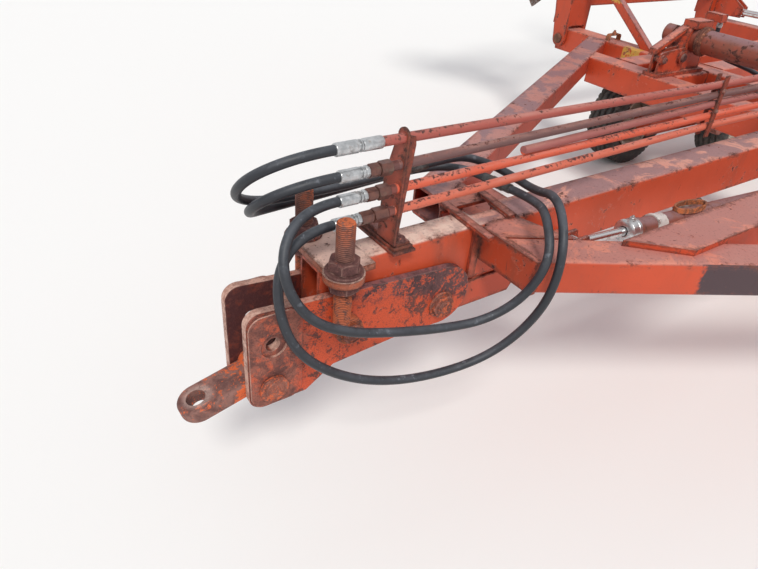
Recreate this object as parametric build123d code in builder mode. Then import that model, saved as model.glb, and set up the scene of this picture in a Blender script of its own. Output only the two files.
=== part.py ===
from build123d import *
import math
import os

os.makedirs("parts", exist_ok=True)

# Frame: +X forward along the tongue, +Y to the machine's left, +Z up, ground at z = 0.
# Stations are distances in millimetres behind the hitch eye, heights are above the ground.

# Driving dimensions
frame_top = 880.0
running_gap = 0.05
seat_gap = 0.3
tube = 152.0
front_tube_front = 2991.0
middle_tube_front = 3470.0
rear_tube_front = 5250.0

# V blades
blade_half = 762.0
blade_sweep = 50.0
blade_chord = 190.0
blade_rise = 52.0
blade_thickness = 12.0
blade_nose_ahead = 210.0

# Hitch eye: a bar that hangs nose down from its pin
eye_pin_station = 185.0
eye_pin_z = -312.0
eye_bar_half = 54.0
eye_bar_thickness = 46.0
eye_bar_pitch = 14.0
eye_length = 190.0
eye_round = 9.0

# The origin is midway between the bar's nose and the tips of the rear blades
pitch = math.radians(eye_bar_pitch)
sweep_angle = math.radians(blade_sweep)
eye_nose = ((eye_length + eye_bar_half - eye_round) * math.cos(pitch)
            + (eye_bar_thickness / 2 - eye_round) * math.sin(pitch) + eye_round - eye_pin_station)
blade_depth = blade_half / math.tan(sweep_angle) + blade_chord * math.sin(sweep_angle)
rear_reach = rear_tube_front + tube / 2 - blade_nose_ahead + blade_depth
eye_x = (rear_reach - eye_nose) / 2


def aft(station):
    """X of a place that lies this far behind the hitch eye."""
    return eye_x - station


def up(height):
    """Z of a place that lies this far above the frame's top face."""
    return frame_top + height


def side_plane(y):
    """Upright plane across Y whose sketch axes are X and Z."""
    return Plane.XZ.offset(-y)


def save(piece, name):
    """Label a finished piece and write it to its own file."""
    piece.label = name
    export_step(piece, f"parts/{name}.step")


def both_sides(piece):
    """A left-hand piece together with its mirror image on the right."""
    with BuildPart() as pair:
        add(piece)
        mirror(about=Plane.XZ)
    return pair.part


# Square and rectangular tubes of the frame: height 152, corners rounded
tube_wall = 10.0
corner = 12.0

stub_width = 102.0
stub_height = 203.0
stub_front = 340.0
stub_rear = 1056.0
stub_hollow = 420.0
pocket_front = 917.0
pocket_rear = 1046.0
pocket_left = -14.0
pocket_depth = 150.0
beam_width = 127.0
beam_height = 178.0

front_tube_rear = front_tube_front + tube
middle_tube_rear = middle_tube_front + tube
rear_tube_rear = rear_tube_front + tube

leg_width = 135.0
leg_height = 112.0
leg_angle = 29.0
leg_start_station = 899.0
leg_start_outer = 282.0
left_leg_front = 925.0
right_leg_front = 900.0
right_leg_hollow = 240.0

inner_rail = 858.0
rail_gap = 123.0
outer_rail = inner_rail + tube + rail_gap
hinge_y = 1945.0
hinge_drop = 70.0
hinge_end = 38.0

# Tongue: a narrow stub, open at its front, running into the deeper beam
with BuildPart() as tongue_beam:
    with BuildSketch(Plane.YZ.offset(aft(stub_rear))):
        with Locations((0, up(-stub_height / 2))):
            Rectangle(stub_width, stub_height)
    extrude(amount=stub_rear - stub_front)
    fillet(tongue_beam.edges().filter_by(Axis.X), corner)
    with BuildSketch(Plane.YZ.offset(aft(stub_front))):
        with Locations((0, up(-stub_height / 2))):
            Rectangle(stub_width - 2 * tube_wall, stub_height - 2 * tube_wall)
    extrude(amount=-stub_hollow, mode=Mode.SUBTRACT)
    with BuildSketch(Plane.XY.offset(up(-pocket_depth))):
        with Locations((aft((pocket_front + pocket_rear) / 2), pocket_left - stub_width / 2)):
            Rectangle(pocket_rear - pocket_front, stub_width)
    extrude(amount=pocket_depth + 1, mode=Mode.SUBTRACT)
    with BuildSketch(Plane.YZ.offset(aft(front_tube_front))):
        with Locations((0, up(-beam_height / 2))):
            RectangleRounded(beam_width, beam_height, corner)
    extrude(amount=front_tube_front - stub_rear)
save(tongue_beam.part, "tongue_beam")

# Hitch body: two side plates that straddle the stub, with cheeks in front for the eye, and the
# plates welded between them
side_inner = 55.0
side_thickness = 24.0
side_outer = side_inner + side_thickness
cheek_pad = 9.0
cheek_outer = side_outer + cheek_pad
cheek_front = 117.0
cheek_top = -51.0
cheek_bottom = -378.0
cheek_rear = 276.0
cheek_round = 40.0
eye_pin_radius = 30.0
eye_pin_head = 42.0
eye_pin_head_height = 14.0
upper_bore_station = 190.0
upper_bore_z = -167.0
upper_bore_radius = 21.0
upper_bore_seat = 38.0
upper_bore_seat_depth = 7.0
pivot_station = 764.0
pivot_z = -232.0
pivot_radius = 25.0
pivot_head = 45.0
pivot_head_height = 30.0
cross_plate = 24.0
cross_plate_height = 200.0
cross_plate_z = -215.0
floor_plate_rear = 590.0
floor_plate_length = 200.0
floor_plate_z = -290.0
pad_border = 3.0
pad_drop = 4.0
pad_height = 307.0
screw_station = 381.0
screw_y = 109.0
screw_radius = 25.5
screw_top = 168.0
screw_pin_station = 401.0
screw_pin_z = -172.0
screw_pin_radius = 22.0
screw_pin_head = 30.0
screw_pin_head_height = 10.0
trunnion_proud = 1.0
screw_eye_radius = 42.0
screw_eye_inner = 92.0
screw_eye_outer = 128.0


side_front_corner = (290.0, -378.0)
side_top_step = -66.0
side_lug_station = 768.0
side_lug_z = -204.0
side_lug_round = 104.0


def hitch_side_outline():
    """Side plate: cheek in front, sloping top and a round lug at the rear pivot."""
    with BuildLine() as line:
        Polyline(
            (aft(side_lug_station), up(side_lug_z - side_lug_round)),
            (aft(623), up(-300)),
            (aft(378), up(-317)),
            (aft(side_front_corner[0]), up(side_front_corner[1])),
            (aft(cheek_front), up(cheek_bottom)),
            (aft(cheek_front), up(cheek_top)),
            (aft(cheek_rear), up(side_top_step)),
            (aft(side_lug_station), up(side_lug_z + side_lug_round)),
        )
        ThreePointArc(
            (aft(side_lug_station), up(side_lug_z + side_lug_round)),
            (aft(side_lug_station + side_lug_round), up(side_lug_z)),
            (aft(side_lug_station), up(side_lug_z - side_lug_round)),
        )
    return line


with BuildPart() as hitch_side:
    with BuildSketch(side_plane(side_outer)):
        add(hitch_side_outline().line)
        make_face()
    extrude(amount=side_thickness)
    front_edges = hitch_side.edges().filter_by(Axis.Y).group_by(Axis.X)[-1]
    fillet(front_edges, cheek_round)
    with BuildSketch(side_plane(cheek_outer)):
        with Locations((aft((cheek_front + cheek_rear) / 2), up((cheek_top + cheek_bottom) / 2 - pad_drop))):
            RectangleRounded(cheek_rear - cheek_front - 2 * pad_border, pad_height, cheek_round)
    extrude(amount=cheek_pad)
    with BuildSketch(side_plane(cheek_outer)):
        with Locations((aft(upper_bore_station), up(upper_bore_z))):
            Circle(upper_bore_radius)
        with Locations((aft(eye_pin_station), up(eye_pin_z))):
            Circle(eye_pin_radius + running_gap)
        with Locations((aft(pivot_station), up(pivot_z))):
            Circle(pivot_radius + running_gap)
        with Locations((aft(screw_pin_station), up(screw_pin_z))):
            Circle(screw_pin_radius + running_gap)
    extrude(amount=cheek_pad + side_thickness, mode=Mode.SUBTRACT)
    with BuildSketch(side_plane(cheek_outer)):
        with Locations((aft(upper_bore_station), up(upper_bore_z))):
            Circle(upper_bore_seat)
    extrude(amount=upper_bore_seat_depth, mode=Mode.SUBTRACT)

with BuildPart() as hitch_body:
    add(both_sides(hitch_side.part))
    with BuildSketch(Plane.YZ.offset(aft(cheek_rear + cross_plate))):
        with Locations((0, up(cross_plate_z))):
            Rectangle(2 * (side_inner - seat_gap), cross_plate_height)
    extrude(amount=cross_plate)
    with BuildSketch(Plane.YZ.offset(aft(floor_plate_rear))):
        with Locations((0, up(floor_plate_z))):
            Rectangle(2 * (side_inner - seat_gap), cross_plate)
    extrude(amount=floor_plate_length)
save(hitch_body.part, "hitch_body")

# Pins through the hitch body: the eye's pin, the rear pivot's pin and the screws' cross pin
with BuildPart() as hitch_pins:
    for station, height, radius, head, head_height, reach in (
        (eye_pin_station, eye_pin_z, eye_pin_radius, eye_pin_head, eye_pin_head_height, cheek_outer),
        (pivot_station, pivot_z, pivot_radius, pivot_head, pivot_head_height, side_outer),
    ):
        with BuildSketch(side_plane(reach)):
            with Locations((aft(station), up(height))):
                Circle(radius)
        extrude(amount=2 * reach)
        for outer_face, depth in ((reach + head_height, head_height), (-reach, head_height)):
            with BuildSketch(side_plane(outer_face)):
                with Locations((aft(station), up(height))):
                    Circle(head)
            extrude(amount=depth)
    trunnion_end = screw_y + screw_radius + trunnion_proud
    for outer_face, toward in ((trunnion_end, 1), (-trunnion_end, -1)):
        with BuildSketch(side_plane(outer_face)):
            with Locations((aft(screw_pin_station), up(screw_pin_z))):
                Circle(screw_pin_radius)
        extrude(amount=toward * (trunnion_end - side_inner))
        with BuildSketch(side_plane(outer_face)):
            with Locations((aft(screw_pin_station), up(screw_pin_z))):
                Circle(screw_pin_head)
        extrude(amount=-toward * screw_pin_head_height)
save(hitch_pins.part, "hitch_pins")

# Pivot bracket under the stub, which carries the rear pivot pin
bracket_half = side_inner - seat_gap
bracket_bottom = -300.0
bracket_top_front = 700.0
bracket_top_rear = 1150.0
bracket_slope_front = 20.0
bracket_slope_rear = 60.0
with BuildPart() as pivot_bracket:
    with BuildSketch(side_plane(bracket_half)):
        with BuildLine():
            Polyline(
                (aft(bracket_top_front), up(-stub_height)),
                (aft(bracket_top_rear), up(-stub_height)),
                (aft(bracket_top_rear - bracket_slope_rear), up(bracket_bottom)),
                (aft(bracket_top_front + bracket_slope_front), up(bracket_bottom)),
                close=True,
            )
        make_face()
    extrude(amount=2 * bracket_half)
    with BuildSketch(side_plane(bracket_half)):
        with Locations((aft(pivot_station), up(pivot_z))):
            Circle(pivot_radius + running_gap)
    extrude(amount=2 * bracket_half, mode=Mode.SUBTRACT)
save(pivot_bracket.part, "pivot_bracket")

# Ear plate on top of the stub, and the two threaded screws that hang from it
ear_thickness = 20.0
ear_radius = 56.0
washer_radius = 52.0
washer_height = 9.0
nut_flat = 76.0
nut_height = 44.0
ear_length = 140.0
with BuildPart() as ear_plate:
    with BuildSketch(Plane.XY.offset(up(0))):
        with Locations((aft(stub_front + ear_length / 2), 0)):
            Rectangle(ear_length, 2 * screw_y)
        with Locations((aft(screw_station), screw_y), (aft(screw_station), -screw_y)):
            Circle(ear_radius)
        with Locations((aft(screw_station), screw_y), (aft(screw_station), -screw_y)):
            Circle(screw_radius + running_gap, mode=Mode.SUBTRACT)
    extrude(amount=ear_thickness)
save(ear_plate.part, "ear_plate")

with BuildPart() as left_screw:
    with BuildSketch(Plane.XY.offset(up(screw_pin_z))):
        with Locations((aft(screw_station), screw_y)):
            Circle(screw_radius)
    extrude(amount=screw_top - screw_pin_z)
    with BuildSketch(side_plane(screw_eye_outer)):
        with Locations((aft(screw_pin_station), up(screw_pin_z))):
            Circle(screw_eye_radius)
    extrude(amount=screw_eye_outer - screw_eye_inner)
    with BuildSketch(side_plane(screw_y + screw_radius)):
        with Locations((aft(screw_pin_station), up(screw_pin_z))):
            Circle(screw_pin_radius + running_gap)
    extrude(amount=2 * screw_radius, mode=Mode.SUBTRACT)
    for height, across, thickness, sides in (
        (ear_thickness, washer_radius, washer_height, 0),
        (ear_thickness + washer_height, nut_flat / 2, nut_height, 6),
        (-nut_height, nut_flat / 2, nut_height, 6),
    ):
        with BuildSketch(Plane.XY.offset(up(height))):
            with Locations((aft(screw_station), screw_y)):
                if sides:
                    RegularPolygon(across, sides, major_radius=False)
                else:
                    Circle(across)
        extrude(amount=thickness)
save(both_sides(left_screw.part), "levelling_screws")

# Hitch eye: a forged bar that hangs nose down from its pin between the cheeks
eye_hole_radius = 27.0
eye_tail = 45.0
eye_axis_point = (aft(eye_pin_station), 0, up(eye_pin_z))
bar_plane = Plane(
    origin=eye_axis_point,
    x_dir=(math.cos(pitch), 0, -math.sin(pitch)),
    z_dir=(math.sin(pitch), 0, math.cos(pitch)),
)
with BuildPart() as hitch_eye:
    with BuildSketch(bar_plane.offset(-eye_bar_thickness / 2)):
        with BuildLine():
            Line((0, eye_bar_half), (eye_length, eye_bar_half))
            ThreePointArc(
                (eye_length, eye_bar_half),
                (eye_length + eye_bar_half, 0),
                (eye_length, -eye_bar_half),
            )
            Line((eye_length, -eye_bar_half), (0, -eye_bar_half))
            Line((0, -eye_bar_half), (0, eye_bar_half))
        make_face()
    extrude(amount=eye_bar_thickness)
    fillet(hitch_eye.edges().group_by(SortBy.LENGTH)[-1], eye_round)
    with BuildSketch(side_plane(side_inner - 1)):
        with Locations((aft(eye_pin_station), up(eye_pin_z))):
            Circle(eye_tail)
    extrude(amount=2 * (side_inner - 1))
    with BuildSketch(side_plane(side_inner)):
        with Locations((aft(eye_pin_station), up(eye_pin_z))):
            Circle(eye_pin_radius + running_gap)
    extrude(amount=2 * side_inner, mode=Mode.SUBTRACT)
    with BuildSketch(bar_plane.offset(-eye_bar_thickness)):
        with Locations((eye_length, 0)):
            Circle(eye_hole_radius)
    extrude(amount=2 * eye_bar_thickness, mode=Mode.SUBTRACT)
save(hitch_eye.part, "hitch_eye")

# Tongue legs: they spread from the stub to the middle cross tube
leg_slope = math.tan(math.radians(leg_angle))
leg_across = leg_width / math.cos(math.radians(leg_angle))


def leg_outer(station):
    """Y of the left leg's outer face at a station."""
    return leg_start_outer + (station - leg_start_station) * leg_slope


def leg_inner(station):
    """Y of the left leg's inner face at a station."""
    return leg_outer(station) - leg_across


def leg_solid(front, open_depth):
    """A left leg that starts at this station, with its front end open or closed."""
    with BuildPart() as leg:
        with BuildSketch(Plane.XY.offset(up(-leg_height))):
            with BuildLine():
                Polyline(
                    (aft(front), leg_inner(front)),
                    (aft(front), leg_outer(front)),
                    (aft(middle_tube_front), leg_outer(middle_tube_front)),
                    (aft(middle_tube_front), leg_inner(middle_tube_front)),
                    close=True,
                )
            make_face()
        extrude(amount=leg_height)
        long_edges = leg.edges().group_by(SortBy.LENGTH)[-1]
        fillet(long_edges, corner)
        if open_depth:
            with BuildSketch(Plane.XY.offset(up(-leg_height + tube_wall))):
                with BuildLine():
                    Polyline(
                        (aft(front), leg_inner(front) + tube_wall),
                        (aft(front), leg_outer(front) - tube_wall),
                        (aft(front + open_depth), leg_outer(front + open_depth) - tube_wall),
                        (aft(front + open_depth), leg_inner(front + open_depth) + tube_wall),
                        close=True,
                    )
                make_face()
            extrude(amount=leg_height - 2 * tube_wall, mode=Mode.SUBTRACT)
    return leg.part


save(leg_solid(left_leg_front, 0), "leg_left")
save(mirror(leg_solid(right_leg_front, right_leg_hollow), about=Plane.XZ), "leg_right")

# Junction: two skewed straps on top, a strap down each side of the stub, the left leg's front
# plate and the top plates between the stub and the legs
strap_outlines = (
    ((873, -118), (903, -121), (882, 138), (855, 142)),
    ((1038, -115), (1068, -117), (1046, 62), (1014, 62)),
)
strap_thickness = 12.0
side_strap_station = 893.0
side_strap_width = 30.0
side_strap_foot = 20.0
front_plate = 20.0
top_plate = 12.0
left_top_rear = 1110.0
right_top_front = 850.0
right_top_rear = 1054.0
right_top_edge = -78.0
right_top_corner = (884.0, -126.0)
with BuildPart() as junction:
    for outline in strap_outlines:
        with BuildSketch(Plane.XY.offset(up(0))):
            with BuildLine():
                Polyline(*[(aft(station), y) for station, y in outline], close=True)
            make_face()
        extrude(amount=strap_thickness)
    for side in (1, -1):
        with BuildSketch(Plane.XY.offset(up(-stub_height + side_strap_foot))):
            with Locations((aft(side_strap_station), side * (stub_width / 2 + strap_thickness / 2))):
                Rectangle(side_strap_width, strap_thickness)
        extrude(amount=stub_height - side_strap_foot)
    with BuildSketch(Plane.XY.offset(up(-leg_height))):
        with BuildLine():
            Polyline(
                (aft(left_leg_front - front_plate), leg_outer(left_leg_front)),
                (aft(left_leg_front), leg_outer(left_leg_front)),
                (aft(left_leg_front), stub_width / 2 + strap_thickness),
                (aft(left_leg_front - front_plate), stub_width / 2 + strap_thickness),
                close=True,
            )
        make_face()
    extrude(amount=leg_height)
    with BuildSketch(Plane.XY.offset(up(-top_plate))):
        with BuildLine():
            Polyline(
                (aft(left_leg_front), stub_width / 2),
                (aft(left_leg_front), leg_inner(left_leg_front)),
                (aft(left_top_rear), leg_inner(left_top_rear)),
                (aft(stub_rear), beam_width / 2),
                (aft(stub_rear - 0.5), stub_width / 2),
                close=True,
            )
        make_face()
    extrude(amount=top_plate)
    with BuildSketch(Plane.XY.offset(up(-top_plate))):
        with BuildLine():
            Polyline(
                (aft(right_top_front), right_top_edge),
                (aft(right_top_rear), right_top_edge),
                (aft(right_top_rear), -leg_inner(right_top_rear)),
                (aft(right_leg_front), -leg_inner(right_leg_front)),
                (aft(right_top_corner[0]), right_top_corner[1]),
                close=True,
            )
        make_face()
    extrude(amount=top_plate)

# Webs between the stub or beam and the legs, at the narrow end of the A
web_thickness = 14.0
web_ahead = 110.0
web_rear = 1280.0
with BuildPart() as web:
    with BuildSketch(Plane.XY.offset(up(-leg_height))):
        with BuildLine():
            Polyline(
                (aft(right_leg_front + web_ahead), beam_width / 2 + seat_gap),
                (aft(right_leg_front + web_ahead), leg_inner(right_leg_front + web_ahead)),
                (aft(web_rear), leg_inner(web_rear)),
                (aft(web_rear), beam_width / 2 + seat_gap),
                close=True,
            )
        make_face()
    extrude(amount=web_thickness)
with BuildPart() as junction_plates:
    add(junction.part)
    add(both_sides(web.part))
save(junction_plates.part, "junction_straps")

# Side member: it starts as a raised plate on the left leg and runs back along the beam as a tube
member_inner = 343.0
member_outer = 488.0
member_front_inner = 1213.0
member_front_outer = 1367.0
member_rise = 20.0


def leg_inner_station(y):
    """Station where the left leg's inner face reaches this Y."""
    return leg_start_station + (y + leg_across - leg_start_outer) / leg_slope


with BuildPart() as side_member:
    with BuildSketch(Plane.XY.offset(up(0))):
        with BuildLine():
            Polyline(
                (aft(member_front_inner), member_inner),
                (aft(member_front_outer), member_outer),
                (aft(front_tube_front), member_outer),
                (aft(front_tube_front), member_inner),
                close=True,
            )
        make_face()
    extrude(amount=member_rise)
    with BuildSketch(Plane.XY.offset(up(-leg_height))):
        with BuildLine():
            Polyline(
                (aft(leg_inner_station(member_inner) + 1), member_inner),
                (aft(leg_inner_station(member_outer) + 1), member_outer),
                (aft(front_tube_front), member_outer),
                (aft(front_tube_front), member_inner),
                close=True,
            )
        make_face()
    extrude(amount=leg_height)
save(side_member.part, "side_member")

# Cross tubes
with BuildPart() as front_cross_tube:
    with BuildSketch(Plane.XY.offset(up(-tube))):
        with BuildLine():
            Polyline(
                (aft(front_tube_front), -leg_inner(front_tube_front)),
                (aft(front_tube_front), leg_inner(front_tube_front)),
                (aft(front_tube_rear), leg_inner(front_tube_rear)),
                (aft(front_tube_rear), -leg_inner(front_tube_rear)),
                close=True,
            )
        make_face()
    extrude(amount=tube)
    fillet(front_cross_tube.edges().filter_by(Axis.Y), corner)
save(front_cross_tube.part, "front_cross_tube")


def cross_tube(front, low_y, high_y):
    """A square tube across the frame from one Y to another."""
    with BuildPart() as piece:
        with BuildSketch(side_plane(high_y)):
            with Locations((aft(front + tube / 2), up(-tube / 2))):
                RectangleRounded(tube, tube, corner)
        extrude(amount=high_y - low_y)
    return piece.part


def rail(front, rear, y, z_top=0.0):
    """A square tube along the frame between two stations."""
    with BuildPart() as piece:
        with BuildSketch(Plane.YZ.offset(aft(rear))):
            with Locations((y, up(z_top - tube / 2))):
                RectangleRounded(tube, tube, corner)
        extrude(amount=rear - front)
    return piece.part


half_tube = tube / 2
tube_end = hinge_y + hinge_end
hinge_pin_radius = 25.0
hinge_pin_z = -hinge_drop


def drill_along_x(y, z, radius, front, rear):
    """A cylinder along X, used for hinge pins and their holes."""
    with BuildPart() as pin:
        with BuildSketch(Plane.YZ.offset(aft(rear))):
            with Locations((y, up(z))):
                Circle(radius)
        extrude(amount=rear - front)
    return pin.part


with BuildPart() as middle_cross_tube:
    add(cross_tube(middle_tube_front, -(inner_rail + half_tube), inner_rail + half_tube))
    add(cross_tube(middle_tube_front, outer_rail + half_tube, tube_end))
    add(cross_tube(middle_tube_front, -tube_end, -(outer_rail + half_tube)))
    for side in (1, -1):
        add(
            drill_along_x(side * hinge_y, hinge_pin_z, hinge_pin_radius + running_gap,
                          middle_tube_front - 10, middle_tube_rear + 10),
            mode=Mode.SUBTRACT,
        )
save(middle_cross_tube.part, "middle_cross_tube")

with BuildPart() as rear_cross_tube:
    add(cross_tube(rear_tube_front, -tube_end, tube_end))
    for side in (1, -1):
        add(
            drill_along_x(side * hinge_y, hinge_pin_z, hinge_pin_radius + running_gap,
                          rear_tube_front - 10, rear_tube_rear + 10),
            mode=Mode.SUBTRACT,
        )
save(rear_cross_tube.part, "rear_cross_tube")

with BuildPart() as inner_rails:
    for side in (1, -1):
        add(rail(front_tube_rear, middle_tube_front, side * inner_rail))
        add(rail(middle_tube_rear, rear_tube_front, side * inner_rail))
save(inner_rails.part, "inner_rails")

with BuildPart() as outer_rails:
    for side in (1, -1):
        add(rail(front_tube_rear, rear_tube_front, side * outer_rail))
save(outer_rails.part, "outer_rails")

# Hinge pins of the wings, one at each end of the middle and rear cross tubes
arm_thickness = 25.0
arm_gap = 5.0
hinge_head = 32.0
hinge_head_height = 12.0
with BuildPart() as hinge_pins:
    for side in (1, -1):
        for front in (middle_tube_front, rear_tube_front):
            reach = arm_gap + arm_thickness
            add(drill_along_x(side * hinge_y, hinge_pin_z, hinge_pin_radius,
                              front - reach, front + tube + reach))
            add(drill_along_x(side * hinge_y, hinge_pin_z, hinge_head,
                              front - reach - hinge_head_height - 1, front - reach - 1))
            add(drill_along_x(side * hinge_y, hinge_pin_z, hinge_pin_radius,
                              front - reach - 1, front - reach))
save(hinge_pins.part, "hinge_pins")

# Wing rests: a sloping square tube on each end of the middle cross tube, with a pad that the
# folded wing leans towards
rest_tube = 51.0
rest_foot_y = outer_rail + 135.0
rest_slope = 36.3
rest_pad = (110.0, 150.0, 14.0)
rest_gap = 6.0
rest_station = middle_tube_front + tube / 2
rest_side = 18.0
rest_pad_y = hinge_y - (hinge_drop - rest_side) - rest_gap - rest_pad[2]
rest_run = rest_pad_y - rest_foot_y
rest_rise = rest_run * math.tan(math.radians(rest_slope))
with BuildPart() as wing_rest:
    half_across = rest_tube / 2 / math.cos(math.radians(rest_slope))
    with BuildSketch(Plane.YZ.offset(aft(rest_station + rest_tube / 2))):
        with BuildLine():
            Polyline(
                (rest_foot_y - half_across / math.tan(math.radians(rest_slope)), up(0)),
                (rest_foot_y + half_across / math.tan(math.radians(rest_slope)), up(0)),
                (rest_pad_y, up(rest_rise - half_across)),
                (rest_pad_y, up(rest_rise + half_across)),
                close=True,
            )
        make_face()
    extrude(amount=rest_tube)
    with BuildSketch(Plane.YZ.offset(aft(rest_station + rest_pad[0] / 2))):
        with Locations((rest_pad_y + rest_pad[2] / 2, up(rest_rise))):
            Rectangle(rest_pad[2], rest_pad[1])
    extrude(amount=rest_pad[0])
save(both_sides(wing_rest.part), "wing_rests")

# Standards and V blades. Each standard is a thick upright plate with its foot in the blade.
standard_thickness = 32.0
standard_width = 240.0
foot_gap = 8.0
foot_height = blade_rise + blade_thickness + foot_gap


def standard(station, y, tube_bottom):
    """Upright plate that hangs from the tube's underside and curves forward to the blade's nose."""
    with BuildPart() as piece:
        with BuildSketch(side_plane(y + standard_thickness / 2)):
            with BuildLine():
                Polyline(
                    (aft(station - standard_width / 2), tube_bottom),
                    (aft(station + standard_width / 2), tube_bottom),
                    (aft(station + standard_width / 2), 200),
                    (aft(station + standard_width / 2 - 60), foot_height),
                    (aft(station - standard_width / 2 - 30), foot_height),
                    (aft(station - standard_width / 2), 260),
                    close=True,
                )
            make_face()
        extrude(amount=standard_thickness)
    return piece.part


def blade(station, y):
    """V blade: two wings that meet at the nose, with raised trailing edges and a socket on top."""
    nose_x = aft(station - blade_nose_ahead)
    along = (-math.cos(sweep_angle), math.sin(sweep_angle), 0)
    back = (-math.sin(sweep_angle), -math.cos(sweep_angle), 0)
    with BuildPart() as piece:
        with BuildSketch(Plane(origin=(nose_x, y, 0), x_dir=back, z_dir=along)):
            with BuildLine():
                Polyline(
                    (0, 0),
                    (blade_chord, blade_rise),
                    (blade_chord, blade_rise + blade_thickness),
                    (14, blade_thickness),
                    close=True,
                )
            make_face()
        extrude(amount=blade_half / math.sin(sweep_angle))
        extrude(piece.faces().sort_by(Axis.Y)[0], amount=blade_chord * 1.2)
        split(bisect_by=Plane.XZ.offset(-y), keep=Keep.BOTTOM)
        mirror(about=Plane.XZ.offset(-y))
        with BuildSketch(side_plane(y + socket_half)):
            with BuildLine():
                Polyline(
                    (nose_x - 70, blade_rise / 2),
                    (nose_x - 70, foot_height - 20),
                    (nose_x - 100, foot_height),
                    (nose_x - 320, foot_height),
                    (nose_x - 320, foot_height - 16),
                    (nose_x - 240, blade_rise),
                    close=True,
                )
            make_face()
        extrude(amount=2 * socket_half)
    return piece.part


socket_half = 36.0
row_pitch = 1372.0
middle_row = middle_tube_front + tube / 2
rear_row = rear_tube_front + tube / 2
centre_tools = ((front_tube_front + standard_width / 2 + 2, 0.0), (rear_row, row_pitch), (rear_row, -row_pitch))

with BuildPart() as centre_standards:
    for station, y in centre_tools:
        add(standard(station, y, up(-tube)))
save(centre_standards.part, "centre_standards")

with BuildPart() as centre_blades:
    for station, y in centre_tools:
        add(blade(station, y))
save(centre_blades.part, "centre_blades")

# Rockshaft above the frame: a tube across, an arm down to each tandem and a lever
shaft_station = 3306.0
shaft_z = 185.0
shaft_radius = 65.0
shaft_stub_radius = 40.0
arm_y = (inner_rail + outer_rail) / 2
arm_clearance = 31.5
arm_width = outer_rail - inner_rail - tube - 2 * arm_clearance
arm_half_height = 50.0
beam_y = outer_rail + 146.0
pivot_y_end = beam_y + 66.0
tandem_station = 4267.0
tandem_z = 360.0
tandem_radius = 38.0
tandem_boss = 60.0
lever_length = 430.0
lever_lean = 10.0
lever_y = 200.0
lever_width = 30.0
lever_half = 40.0
lever_pin_radius = 19.0
lever_pin_half = 36.0
lever_plate = 12.0
tandem_cap = 14.0
lean = math.radians(lever_lean)
lever_pin_station = shaft_station + lever_length * math.sin(lean)
lever_pin_z = shaft_z - lever_length * math.cos(lean)


def bar_between(first, second, half_height, y_high, width):
    """A round-ended bar in a plane across Y, between two points given as X and Z."""
    (x1, z1), (x2, z2) = first, second
    run = math.hypot(x2 - x1, z2 - z1)
    turn = math.degrees(math.atan2(z2 - z1, x2 - x1))
    with BuildPart() as piece:
        with BuildSketch(side_plane(y_high)):
            with Locations(Location(((x1 + x2) / 2, (z1 + z2) / 2, 0), (0, 0, turn))):
                SlotCenterToCenter(run, 2 * half_height)
        extrude(amount=width)
    return piece.part


def cylinder_y(station, z, radius, y_high, length):
    """A cylinder along Y from y_high towards the right."""
    with BuildPart() as piece:
        with BuildSketch(side_plane(y_high)):
            with Locations((aft(station), z)):
                Circle(radius)
        extrude(amount=length)
    return piece.part


pedestal_half = 22.0
shaft_shoulder = inner_rail + pedestal_half + 6.0
with BuildPart() as rockshaft:
    shaft_half = arm_y + arm_width / 2
    add(cylinder_y(shaft_station, up(shaft_z), shaft_radius, shaft_shoulder, 2 * shaft_shoulder))
    add(cylinder_y(shaft_station, up(shaft_z), shaft_stub_radius, shaft_half, 2 * shaft_half))
    for side in (1, -1):
        high = side * arm_y + arm_width / 2
        add(bar_between((aft(shaft_station), up(shaft_z)), (aft(tandem_station), tandem_z),
                        arm_half_height, high, arm_width))
        add(cylinder_y(tandem_station, tandem_z, tandem_boss, high, arm_width))
        axle_high = pivot_y_end if side > 0 else -(arm_y - arm_width / 2)
        add(cylinder_y(tandem_station, tandem_z, tandem_radius, axle_high,
                       pivot_y_end - arm_y + arm_width / 2))
        cap_high = pivot_y_end + tandem_cap if side > 0 else -pivot_y_end
        add(cylinder_y(tandem_station, tandem_z, tandem_radius + tandem_cap, cap_high, tandem_cap))
    for offset in (-1, 1):
        high = lever_y + offset * (lever_width + lever_plate) / 2 + lever_plate / 2
        add(bar_between((aft(shaft_station), up(shaft_z)), (aft(lever_pin_station), up(lever_pin_z)),
                        lever_half, high, lever_plate))
    add(cylinder_y(lever_pin_station, up(lever_pin_z), lever_pin_radius, lever_y + lever_pin_half,
                   2 * lever_pin_half))
save(rockshaft.part, "rockshaft")

# Pedestals that carry the rockshaft on the inner rails: a base, a bearing plate with its ring and
# cap, a sloping stay, and two pinned lugs in front
pedestal_ring = 88.0
pedestal_base = 20.0
pedestal_base_half = 50.0
pedestal_front = front_tube_front + 4.0
pedestal_rear = middle_tube_front - 30.0
pedestal_lug = 12.0
pedestal_pins = ((3013.0, 98.0, 24.0), (3190.0, 99.0, 34.0))
pedestal_pin_radius = 16.0
pedestal_pin_head_height = 16.0
pedestal_cap = (150.0, 90.0, 40.0)
pedestal_cap_sunk = 25.0
pedestal_cap_back = 10.0
bearing_front = 150.0
bearing_rear = 120.0
bearing_neck_front = (60.0, 55.0)
bearing_neck_rear = (75.0, 40.0)
stay_low = (118.0, 146.0)
stay_lower_end = (60.0, 50.0)
stay_upper_end = (30.0, 84.0)
lug_front_rise = (126.0, 136.0)
lug_slope = 20.0
lug_rear_top = (90.0, 150.0)
lug_rear = 70.0
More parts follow.
